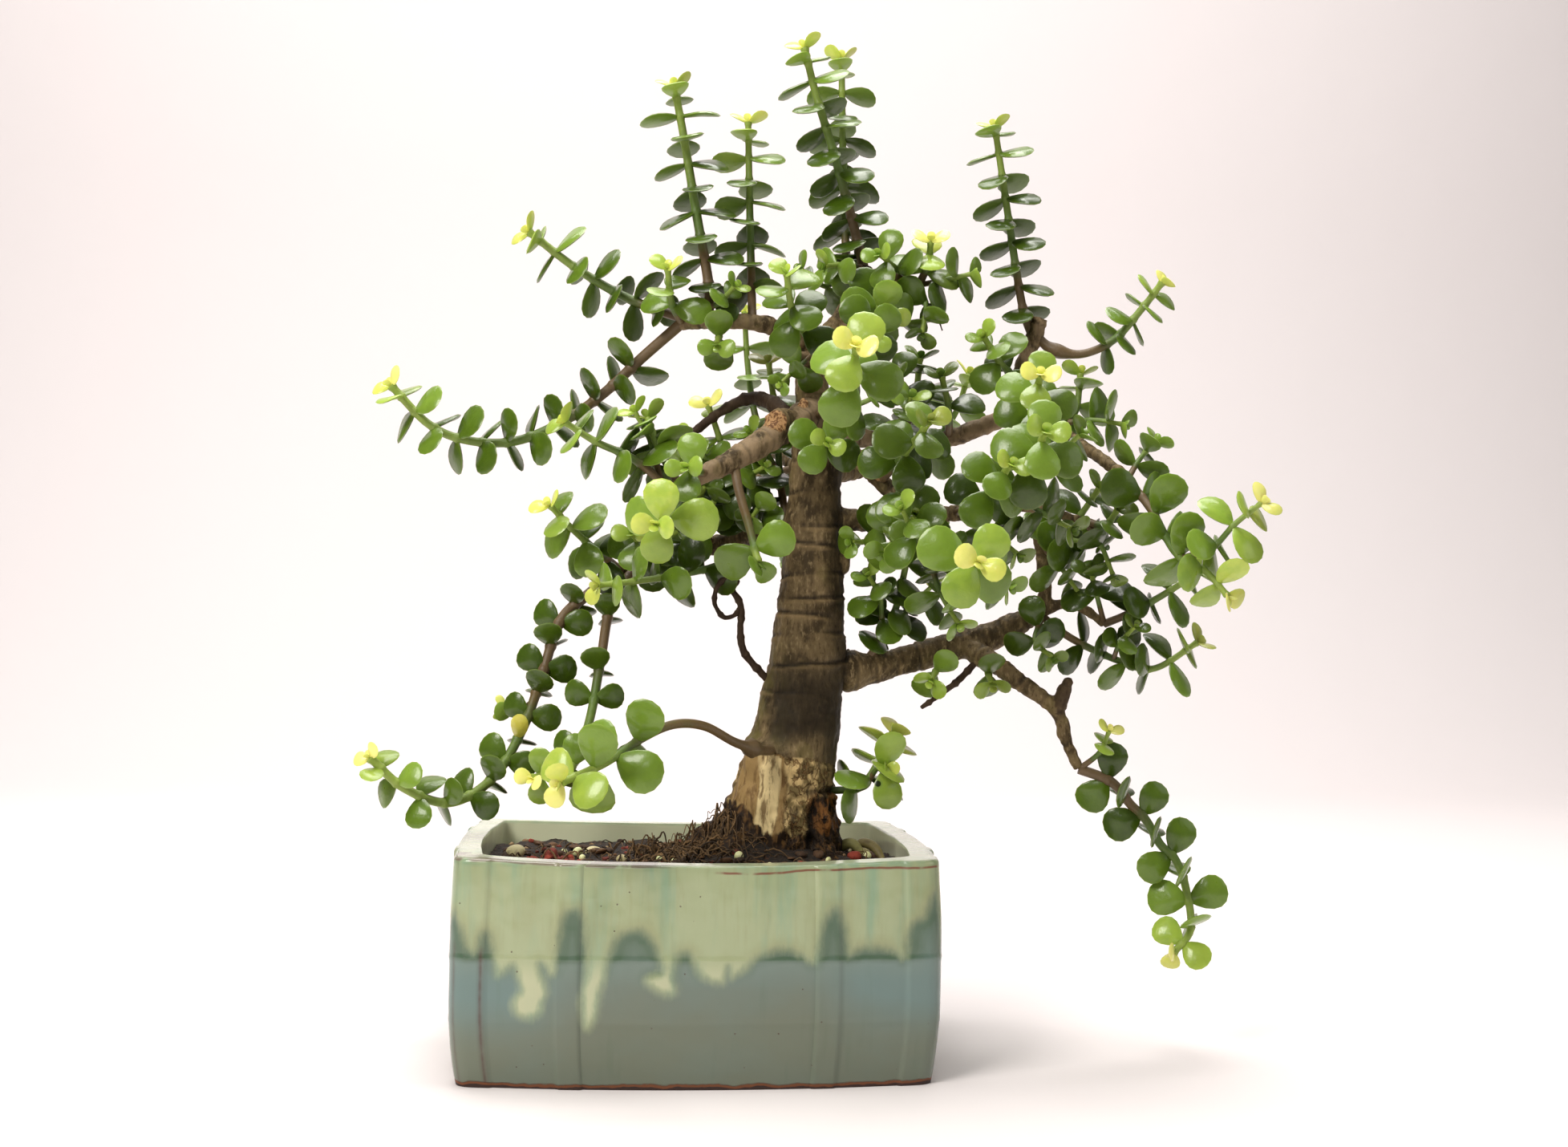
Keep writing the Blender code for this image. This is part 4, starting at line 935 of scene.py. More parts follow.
    def scatter(self) -> None:
        """Lays out stones, beads, chips, small grit and root fibres."""
        rng = random.Random("grit")
        stones = [
            self.seat(self.stone(r, 0.66, 0.16, rng, 12), x, y, 0.25 * r, rng) for x, y, r in self.pebbles
        ]
        hand_in(self.smoothed("pebbles", stones), Slot.SOIL, PEBBLE.material())
        reds = [self.seat(self.stone(r, 0.7, 0.34, rng, 12), x, y, 0.3 * r, rng) for x, y, r in self.red_stones]
        for x, y in self.spots(self.lava_count, rng):
            reds.append(self.seat(self.stone(rng.uniform(0.8, 1.9), 0.7, 0.35, rng), x, y, 0.3, rng))
        for _ in range(self.lava_heap):
            x, y = rng.gauss(-56, 5), rng.gauss(-4, 9)
            reds.append(self.seat(self.stone(rng.uniform(1.1, 2.3), 0.7, 0.35, rng), x, y, 0.5, rng))
        hand_in(self.smoothed("lava_grit", reds), Slot.SOIL, LAVA.material())
        beads = [self.seat(self.stone(r, 0.96, 0.03, rng, 14), x, y, 0.45 * r, rng) for x, y, r in self.beads]
        hand_in(self.smoothed("fertiliser_beads", beads), Slot.SOIL, BEAD.material())
        tans = []
        for x, y in self.spots(self.tan_count, rng):
            tans.append(self.seat(self.stone(rng.uniform(0.7, 1.9), 0.7, 0.25, rng), x, y, 0.25, rng))
        hand_in(self.smoothed("tan_grit", tans), Slot.SOIL, TAN_GRIT.material())
        chips = []
        for x, y in self.spots(self.chip_count, rng):
            chip = self.stone(rng.uniform(1.0, 3.1), rng.uniform(0.3, 0.6), 0.45, rng, 6)
            chips.append(self.seat(chip, x, y, 0.5, rng))
        hand_in(self.smoothed("bark_chips", chips), Slot.SOIL, BARK_CHIP.material())
        hand_in(self.fibres(rng), Slot.SOIL, FIBRE.material())
        curls = []
        for number, arc in enumerate(self.peels):
            line = curve_through(arc, 0.8)
            curls.append(tube("peel", line, line[:, 3], 12))
            give_values(curls[-1], "tint", number)
        hand_in(self.smoothed("bark_peels", curls), Slot.SOIL, PEEL.material())

    @staticmethod
    def smoothed(name: str, grains: Sequence[Object]) -> Object:
        """The grains as one smoothly shaded piece."""
        piece = join(name, grains)
        shade_by_angle(piece, 50)
        return piece

    def fibres(self, rng: random.Random) -> Object:
        """Curling bits of root, thickest round the heap at the trunk's left."""
        strands = []
        for number in range(self.fibre_count):
            rise = 1.0
            if number % 4 == 0:
                x, y = rng.uniform(-70, 74), rng.uniform(-58, 58)
            elif number % 4 == 1:
                middle_x, middle_y, rise = self.tufts[number // 4 % len(self.tufts)]
                x, y = rng.gauss(middle_x, 3.4), rng.gauss(middle_y, 3.4)
            else:
                x, y = rng.gauss(6, 13), rng.gauss(-16, 10)
            heading, length = rng.uniform(0, math.tau), rng.uniform(4, 14)
            path = []
            lift = rng.uniform(0.2, 1.0) * rise
            for step in range(self.fibre_steps):
                share = step / (self.fibre_steps - 1)
                over = self.height_at(np.array([x]), np.array([y]))[0]
                path.append((x, y, over + 0.5 + 3.4 * lift * math.sin(math.pi * share) * rng.uniform(0.7, 1.1)))
                heading += rng.uniform(-0.75, 0.75)
                x += math.cos(heading) * length / self.fibre_steps
                y += math.sin(heading) * length / self.fibre_steps
            if max(abs(point[0]) for point in path) > 76 or max(abs(point[1]) for point in path) > 61:
                continue
            line = curve_through(path, 0.9)
            thick = rng.uniform(0.2, 0.5)
            strand = tube("fibre", line, np.linspace(thick, thick * 0.45, len(line)), 6)
            give_values(strand, "tint", rng.random())
            strands.append(strand)
        return self.smoothed("root_fibres", strands)


# Wood


@dataclass(frozen=True)
class Limb:
    """Wood that grew as one with the trunk. Each point is x, y, z and the radius there."""

    name: str
    points: tuple[tuple[float, float, float, float], ...]


LIMBS = (
    Limb("trunk", ((34, 0, 44, 15), (34, 0, 56, 22), (35, 0, 70, 25.3), (36, 0, 84, 23), (36, 0, 97, 21.4),
        (38, 0, 110, 19.5), (41, 0, 123, 17.8), (43, 0, 136, 16.9), (45, 0, 149, 15.9), (46, 0, 162, 15.3),
        (46.6, 0, 178, 13.5), (47.3, 0, 195, 12.3), (47.2, 0, 211, 11.9), (47.8, 0, 227, 10.6), (48, 0, 244, 10.1),
        (48, 0, 256, 8.8))),
    Limb("leader", ((48, 0, 252, 8.4), (46, 3, 270, 6.5), (50, 6, 282, 5.9), (60, 10, 295, 5.3),
        (66, 10, 307, 4.6), (68, 10, 318, 3.9))),
    Limb("crown_left", ((52, 6, 283, 4.6), (38, 0, 286, 4.2), (27, -4, 290, 3.6), (9, -6, 291, 3.2),
        (-8, 0, 290, 2.9))),
    Limb("sawn_left", ((47, -2, 255, 7.1), (36, -20, 248, 6), (20, -35, 237, 5), (4, -46, 227, 3.7),
        (-12, -52, 219, 2.7))),
    Limb("dead_left", ((38, -15, 249, 3.2), (30, -4, 258, 3.2), (21, 4, 261, 2.6), (10, 6, 256, 2),
        (-3, 6, 246, 1.6), (-16, 6, 238, 1.1))),
    Limb("low_left", ((44, 6, 206, 5.5), (25, 26, 206, 4), (5, 34, 201, 3.7), (-15, 34, 196, 3),
        (-32, 32, 190, 2.7))),
    Limb("heavy_right", ((50, 0, 150, 7.8), (70, 6, 151, 6.5), (88, 10, 155, 5.9), (108, 12, 161, 6.3),
        (125, 12, 166, 5.9), (139, 10, 174, 4.3), (145, 8, 183, 2.9), (144, 10, 197, 2.6), (141, 12, 212, 2.3))),
    Limb("heavy_fork", ((139, 10, 174, 2.9), (152, 6, 179, 2.3), (160, 3, 177, 2), (168, 0, 171, 1.7))),
    Limb("low_right", ((111, 11, 162, 4.9), (124, 0, 153, 4.2), (136, -6, 144, 3.5), (147, -8, 135, 2.9),
        (151, -8, 123, 2.6), (156, -9, 112, 2.2))),
    Limb("mid_right", ((52, 3, 213, 4.8), (78, -4, 211, 3.9), (100, -14, 214, 3.5), (121, -20, 218, 2.8),
        (137, -22, 216, 2.2), (154, -22, 212, 1.6))),
    Limb("drop_right", ((50, -4, 247, 4.4), (65, -16, 234, 3.8), (78, -26, 218, 3.1), (87, -32, 199, 2.5))),
    Limb("high_right", ((49, 6, 245, 5), (75, 24, 248, 4.3), (99, 26, 247, 3.7), (117, 22, 252, 3.7),
        (130, 16, 259, 3.6), (135, 12, 275, 4), (142, 10, 298, 3.3))),
    Limb("high_fork", ((129, 17, 258, 3.2), (145, 2, 252, 2.6), (160, -20, 238, 2.5), (168, -36, 228, 2.2))),
    Limb("crown_right", ((66, 10, 312, 3.6), (78, 0, 312, 2.9), (89, -8, 307, 1.9))),
    Limb("back_left", ((48, 8, 222, 4.6), (46, 50, 236, 3.4), (38, 84, 246, 2.5))),
    Limb("back_right", ((51, 6, 230, 4.4), (75, 50, 237, 3.4), (97, 78, 243, 2.5))),
    Limb("sawn_knot", ((34, -22, 249, 5.2), (29, -30, 248, 5))),
    Limb("stub_top", ((46, -2, 254, 3.2), (41, -17, 257, 2.4))),
    Limb("stub_leader", ((47, 3, 277, 3), (39, -8, 277, 2.3))),
    Limb("bark_flap", ((147, -8, 133, 2.6), (149, -10, 143, 3), (151, -10, 149, 1.4))),
    Limb("stub_drop", ((66, -17, 233, 3.2), (70, -27, 229, 3))),
    Limb("trunk_knob", ((50, 0, 195, 8), (62, -2, 194, 3.5))),
    Limb("dead_loop", ((31, 0, 145, 1.5), (20, -2, 157, 1.4), (18, -4, 167, 1.3), (18, -4, 176, 1.3),
        (12, 4, 188, 1.3), (12, 28, 201, 1.3))),
    Limb("dead_twig", ((118, 6, 157, 1.5), (107, 3, 146, 1.3), (92, -4, 136, 0.9))),
    Limb("root_front_left", ((36, 0, 86, 12), (16, -18, 75, 7), (4, -30, 62, 3))),
    Limb("root_front_right", ((40, -4, 82, 12), (56, -20, 70, 6), (64, -30, 60, 3))),
    Limb("root_left", ((30, 0, 88, 12), (8, 0, 77, 8), (-12, -3, 64, 4))),
    Limb("root_back_left", ((30, 5, 84, 12), (12, 22, 72, 7), (2, 34, 62, 3))),
    Limb("root_back_right", ((42, 4, 82, 12), (58, 20, 70, 6), (68, 32, 60, 3))),
)


@dataclass(frozen=True)
class BarkFinish:
    """Grey-brown bark with ring scars, a stripped patch and scaly plates on the trunk's foot, and painted shade on
    the trunk's right side and in a band across its front.
    """

    light: Colour = (0.60, 0.52, 0.38)
    middle: Colour = (0.46, 0.39, 0.27)
    dark: Colour = (0.26, 0.21, 0.13)
    # Ring scars are this dark, and the same colour is painted shade in grooves, under the ledge and in the cleft
    crease: Colour = (0.10, 0.07, 0.045)
    edge: Colour = (0.64, 0.54, 0.38)
    green: Colour = (0.42, 0.38, 0.21)
    stripped: Colour = (0.90, 0.81, 0.60)
    tan: Colour = (0.61, 0.50, 0.32)
    streak: Colour = (0.40, 0.29, 0.16)
    plate: Colour = (0.80, 0.69, 0.48)
    rough_bark: Colour = (0.48, 0.41, 0.26)
    rust: Colour = (0.54, 0.36, 0.18)
    damp: Colour = (0.14, 0.09, 0.045)
    # Painted shade: the colour that the trunk's right side and a band across its front are darkened towards
    shade: Colour = (0.13, 0.10, 0.055)
    dead: Colour = (0.20, 0.14, 0.11)
    cut: Colour = (0.68, 0.53, 0.36)
    cut_ring: Colour = (0.40, 0.27, 0.17)
    pale_bark: Colour = (0.60, 0.51, 0.40)

    def material(self) -> bpy.types.Material:
        """Builds the shader from the values that Wood stores on its mesh."""
        graph = Graph("bark")
        mottle = graph.grain(10.0, 4, (1.0, 1.0, 0.6), 0.6)
        fine = graph.grain(1.6, 4, (1.0, 1.0, 0.4), 0.6)
        colour = graph.mix(mottle.between(0.38, 0.58), self.dark, self.middle)
        colour = graph.mix(fine.between(0.50, 0.70) * 0.8, colour, self.light)
        colour = graph.mix(fine.between(0.44, 0.34) * 0.7, colour, self.dark)
        pale_bark = graph.value("pale_bark").clamped() * mottle.between(0.36, 0.56)
        colour = graph.mix(pale_bark * 0.75, colour, self.pale_bark)
        green = graph.value("green") * graph.grain(8.0, 3).between(0.38, 0.6)
        colour = graph.mix(green * 0.8, colour, self.green)
        colour = graph.mix(graph.value("edge").clamped() * 0.6, colour, self.edge)

        scaly = graph.value("scaly").clamped()
        ragged = graph.grain(3.4, 5, (1.0, 1.0, 0.45), 0.65)
        cracks = (graph.grain(5.5, 3, (1.0, 1.0, 0.75), 0.6) - 0.5).math("ABSOLUTE").between(0.035, 0.008)
        plates = graph.mix(graph.grain(6.0, 3).between(0.42, 0.58), self.rough_bark, self.plate)
        plates = graph.mix(ragged.between(0.50, 0.36) * 0.8, plates, self.damp)
        plates = graph.mix(cracks * 0.75, plates, self.streak)
        rusty = graph.mix(ragged.between(0.42, 0.56), self.damp, self.rust)
        plates = graph.mix(graph.value("rust").clamped(), plates, rusty)
        colour = graph.mix(scaly, colour, plates)

        strip = graph.value("strip").clamped()
        streaks = graph.grain(2.6, 5, (1.0, 1.0, 0.2), 0.65)
        pale = graph.mix(strip.between(0.55, 0.85), self.tan, self.stripped)
        pale = graph.mix(streaks.between(0.46, 0.62) * 0.8, pale, self.streak)
        colour = graph.mix(strip.between(0.1, 0.45), colour, pale)
        damp = graph.value("damp")
        damp = (damp + (ragged - 0.5) * 0.9).between(0.35, 0.65) * damp.between(0.02, 0.2)
        colour = graph.mix(damp, colour, graph.mix(fine.between(0.45, 0.7), self.damp, self.streak))
        # Painted shade on the trunk's right side and in a band across its front
        colour = graph.mix(graph.value("shade").clamped() * 0.88, colour, self.shade)

        dead = graph.value("dead").clamped()
        colour = graph.mix(dead * 0.85, colour, self.dead)
        cut = graph.value("cut").clamped()
        rings = graph.mix(graph.grain(1.0, 3).between(0.42, 0.6), self.cut, self.cut_ring)
        colour = graph.mix(cut, colour, rings)
        # Painted shade in grooves, under the ledge and in the cleft, over dark ring scars
        crease = graph.value("crease").clamped()
        colour = graph.mix(crease * 0.9, colour, self.crease)

        height = mottle * 0.5 + fine * 0.45 + scaly * ragged * 1.9 - scaly * cracks * 0.7 - strip * streaks * 1.1
        normal = graph.bump(height, 0.75)
        return graph.finish(Base_Color=colour, Roughness=0.62, Normal=normal, Specular_IOR_Level=0.18)


@dataclass
class Wood:
    """Trunk, roots, limbs, stubs and dead twigs, with the marks of their bark."""

    voxel: float = 0.9
    slim: tuple[str, ...] = ("dead_left", "dead_loop", "dead_twig")
    strays: tuple[Limb, ...] = (
        Limb("rootlet", ((88, -6, 308, 0.6), (90, -8, 300, 0.35), (95, -9, 296, 0.3), (98, -8, 289, 0.2))),
        Limb("dead_curl", (
            (17, -4, 185, 1.0), (12.5, -5, 187.5, 1.0), (8, -5, 183, 0.95), (7.5, -5, 176.5, 0.9),
            (11, -6, 171.5, 0.9), (15.5, -5, 172.5, 0.9), (18, -4, 176, 0.9),
        )),
    )
    pale: tuple[str, ...] = ("sawn_left", "crown_left", "stub_top", "stub_leader", "high_right")
    sawn: tuple[str, ...] = ("sawn_knot", "stub_top", "stub_leader", "stub_drop")
    trunk_rings: tuple[tuple[float, float], ...] = (
        (223, 0.6), (210, 0.7), (201, 0.9), (189, 1.0), (181, 0.9), (173, 0.9), (165, 0.8), (154, 1.0), (142, 0.6),
        (133, 0.3), (236, 0.4),
    )
    finish: BarkFinish = field(default_factory=BarkFinish)

    def build(self) -> Object:
        """Builds, dresses and hands in the wood."""
        thick = [limb for limb in LIMBS if limb.name not in self.slim]
        wood = join("grown_wood", [self.limb_tube(limb) for limb in thick])
        add_modifier(wood, "REMESH", mode="VOXEL", voxel_size=self.voxel * MM)
        add_modifier(wood, "SMOOTH", factor=0.5, iterations=3)
        self.mark(wood, thick)
        twigs = [limb for limb in LIMBS if limb.name in self.slim]
        wood = join("grown_wood", [wood, *(self.twig(limb) for limb in (*twigs, *self.strays))])
        shade_by_angle(wood, 75)
        return hand_in(wood, Slot.BARK, self.finish.material(), "wood")

    @staticmethod
    def limb_tube(limb: Limb) -> Object:
        """One limb as a plain round tube."""
        line = curve_through(limb.points, 2.0)
        return tube(limb.name, line, line[:, 3], 20)

    def twig(self, limb: Limb) -> Object:
        """A dead twig with its bumps, too slim for the common mesh."""
        line = curve_through(limb.points, 0.8)
        along = np.arange(len(line)) * 0.8
        bumps = 0.45 * bell((along + 3) % 7.5 - 4, 0.9)
        twig = tube(limb.name, line, line[:, 3] + bumps, 10)
        points = points_of(twig)
        move_points(twig, points + normals_of(twig) * (0.34 * noise_at(points, 2.4, 4.0))[:, None])
        for name in ("crease", "edge", "scaly", "strip", "green", "cut", "shade", "rust", "damp", "pale_bark"):
            give_values(twig, name, 0.0)
        give_values(twig, "dead", 1.0)
        return twig

    def mark(self, wood: Object, limbs: Sequence[Limb]) -> None:
        """Presses rings, lips and cracks into the bark and stores what the shader needs.

        Args:
            wood: The wood's smooth mesh.
            limbs: What it is made of.
        """
        points = points_of(wood)
        lines = [curve_through(limb.points, 2.0) for limb in limbs]
        owner, along, end_gap = self.nearest(points, lines)
        names = np.array([limb.name for limb in limbs])[owner]
        trunk = names == "trunk"
        root = np.char.startswith(names, "root_")
        x, y, z = points.T
        angle = np.arctan2(y, x - 45)

        coarse, middle = noise_at(points, 9.0), noise_at(points, 3.2, 2.0)
        small = noise_at(points, 1.3, 6.0)
        upright = noise_at(points * (1, 1, 0.22), 3.4, 8.0)
        rise = 0.5 * coarse + 0.4 * middle + 0.2 * small
        rise += trunk * 0.9 * noise_at(points * (1, 1, 0.7), 7.0, 41.0)

        # Ring scars: a dark groove, partly the scar's own colour and partly painted shade, with a paler lip below
        crease, edge = np.zeros(len(points)), np.zeros(len(points))
        wavy = 0.9 * noise_at(points * (1, 1, 0.2), 11.0, 3.0) + 0.35 * noise_at(points, 3.0, 7.0)
        for number, (ring, strength) in enumerate(self.trunk_rings):
            off = z - ring - wavy - 1.3 * np.cos(angle - 1.9 * number)
            part = strength * np.clip(0.55 + 0.9 * np.sin(angle * 1.5 + 2.3 * number) + 0.5 * strength, 0.1, 1)
            crease = np.maximum(crease, part * bell(off, 0.8) * trunk)
            edge = np.maximum(edge, part * bell(off + 1.5, 0.75) * trunk)
        pace = 9.5 + 3.5 * np.modf(owner * 0.618)[0]
        ringed = ~trunk & ~root
        place = (along + 2 * wavy + owner * 3.1) % pace
        off = np.minimum(place, pace - place)
        faint = np.clip(0.65 + 0.6 * noise_at(points, 12.0, 12.0), 0.1, 1)
        crease = np.maximum(crease, 0.7 * faint * bell(off, 0.7) * ringed)
        edge = np.maximum(edge, 0.6 * faint * bell(place - 1.4, 0.7) * ringed)
        rise += 0.45 * edge - 0.7 * crease

        rise += 1.9 * (names == "heavy_right") * bell(along - 13, 6)
        rise += 0.6 * ringed * np.clip(noise_at(points, 5.0, 51.0) - 0.15, 0, 1)
        lip = 119.5 - 3.2 * (1 + np.cos(angle + 0.25)) + 2.2 * noise_at(points, 5.5, 14.0)
        below = smooth_step(z, lip + 0.4, lip - 0.5) * (trunk | root)
        lipped = smooth_step(x, 43, 36)
        rise += trunk * lipped * (0.95 * bell(z - lip - 1.6, 1.9) - 0.8 * below)
        front = smooth_step(y, 2, -6)
        off_streak = x - 30.5 + 0.12 * (117 - z) + 1.8 * upright
        fibrous = 0.5 * smooth_step(x + 2.0 * upright, 38, 33)
        strip = below * front * np.maximum(fibrous, np.exp(-((off_streak / 5.2) ** 4)))
        scaly = below * (1 - strip) * smooth_step(strip, 0.4, 0.3)
        rise += strip * (0.9 * upright - 0.35)
        rise += scaly * (1.3 * abs(upright) + 1.1 * middle - 0.6)
        damp_top = 98 - 11 * smooth_step(x, 19, 27) + 4 * middle
        damp = below * smooth_step(z, damp_top + 4, damp_top - 5)
        rust = below * smooth_step(x + 2 * middle, 44, 48) * smooth_step(z, 104, 99)
        # Painted shadow under a ledge of bark
        ledge = bell(z - 102.5 - 1.2 * middle, 1.5) * smooth_step(x, 43, 47) * front * trunk
        rise += 1.2 * rust * (0.5 + abs(upright)) - 1.4 * ledge
        crease = np.maximum(crease, 0.85 * ledge)
        rise += 3.2 * below * smooth_step(z, 107, 90) * smooth_step(x, 26, 14)
        # A cleft, pressed in and painted dark as its shade
        cleft = bell(np.hypot(x - 47.5 - 0.14 * (z - 92), (y + 20) * 0.4), 2.4) * front
        cleft *= smooth_step(z, 72, 78) * smooth_step(z, 103, 97)
        rise -= 2.6 * cleft
        crease = np.maximum(crease, cleft)
        # Upright folds, pressed in and painted darker as their shade
        folds = trunk * (z > 118) * np.clip(-upright - 0.36, 0, 1)
        rise -= folds * 0.8
        crease = np.maximum(crease, folds * 0.5)
        bulb = bell(np.linalg.norm((points - (20.5, -12.0, 117.0)) * (1, 0.7, 0.75), axis=1), 5.0)
        rise += 3.0 * bulb

        move_points(wood, points + normals_of(wood) * rise[:, None])
        cut = np.isin(names, self.sawn) & (end_gap > -0.5)
        # Painted shade: the trunk's right side and a band across its front, weaker below the lip
        right = smooth_step(x, 47 + 3 * coarse, 57 + 3 * coarse)
        band = smooth_step(z, 117 + 4 * coarse, 128 + 4 * coarse)
        band = band * smooth_step(z, 160 + 5 * coarse, 144 + 5 * coarse)
        band *= smooth_step(x + 2 * middle, 26, 33) * smooth_step(y, 6, -4)
        left = smooth_step(x, 40, 31) * smooth_step(z, 116, 124) * smooth_step(z, 168, 148)
        for name, values in (
            ("crease", crease), ("edge", edge), ("scaly", scaly), ("strip", strip), ("damp", damp),
            ("rust", np.maximum(rust, 0.8 * bulb)),
            ("green", np.maximum(left * trunk, 0.5 * (noise_at(points, 14.0, 21.0) > 0.35))),
            ("dead", 0.8 * (names == "bark_flap")), ("cut", cut), ("pale_bark", np.isin(names, self.pale)),
            ("shade", np.maximum(0.85 * right, band) * trunk * (0.35 + 0.65 * smooth_step(z, lip - 6, lip + 4))),
        ):
            give_values(wood, name, values)

    @staticmethod
    def nearest(points: Array, lines: Sequence[Array]) -> tuple[Array, Array, Array]:
        """Which limb each point belongs to.

        Args:
            points: Points on the wood's surface.
            lines: Each limb's samples, 2 mm apart, with their radius.

        Returns:
            The limb's number, how far along it the point is, and how far the point lies beyond its end.
        """
        best = np.full(len(points), np.inf)
        owner, along = np.zeros(len(points), int), np.zeros(len(points))
        end_gap = np.full(len(points), -np.inf)
        for number, line in enumerate(lines):
            away = np.linalg.norm(points[:, None, :] - line[None, :, :3], axis=2) - line[None, :, 3]
            sample = away.argmin(axis=1)
            near = away[np.arange(len(points)), sample]
            nearer = near < best
            tangents = np.gradient(line[:, :3], axis=0)
            tangents /= np.linalg.norm(tangents, axis=1)[:, None]
            ahead = ((points - line[sample, :3]) * tangents[sample]).sum(axis=1)
            beyond = (points - line[-1, :3]) @ tangents[-1]
            best = np.where(nearer, near, best)
            owner = np.where(nearer, number, owner)
            along = np.where(nearer, 2.0 * sample + ahead, along)
            end_gap = np.where(nearer, beyond, end_gap)
        return owner, along, end_gap


# Leafy shoots


@dataclass(frozen=True)
class Shoot:
    """A green stem with its leaf pairs.

    It leaves its parent at a share of the parent's length and then follows its own route. Pairs
    stand one step apart from the tip down to the bare length. The phase turns the end pair round
    the stem, turn swings the blades' faces towards the light, and lean tips each towards the
    front or the back, whichever it faces already. A high young keeps more pairs fresh green, tip is
    the age of the end pair, from 0 for yellow, and woody is the share of the stem that has turned
    brown. A sparse one has only the pairs of the CAD part, and heel is where the stem swells and by
    how much.
    """

    name: str
    parent: str
    share: float
    route: tuple[Triple, ...]
    radius: float = 1.5
    step: float = 9.5
    tip_step: float = 5.5
    bare: float = 9.0
    phase: float = 0.0
    lift: float = 0.0
    leaf: float = 16.0
    turn: float = 0.0
    lean: float = 0.4
    young: float = 1.0
    tip: float = 0.0
    woody: float = 0.3
    sparse: bool = False
    heel: tuple[float, float] = (0.0, 0.0)


def side_shoot(name: str, share: float, *route: Triple, **others: float) -> Shoot:
    """A short shoot that only the scene has; its name starts with its parent's."""
    usual = {"radius": 1.1, "tip": 0.42, "bare": 7.0}
    return Shoot(name, name.rsplit("_", 1)[0], share, route, **(usual | others))


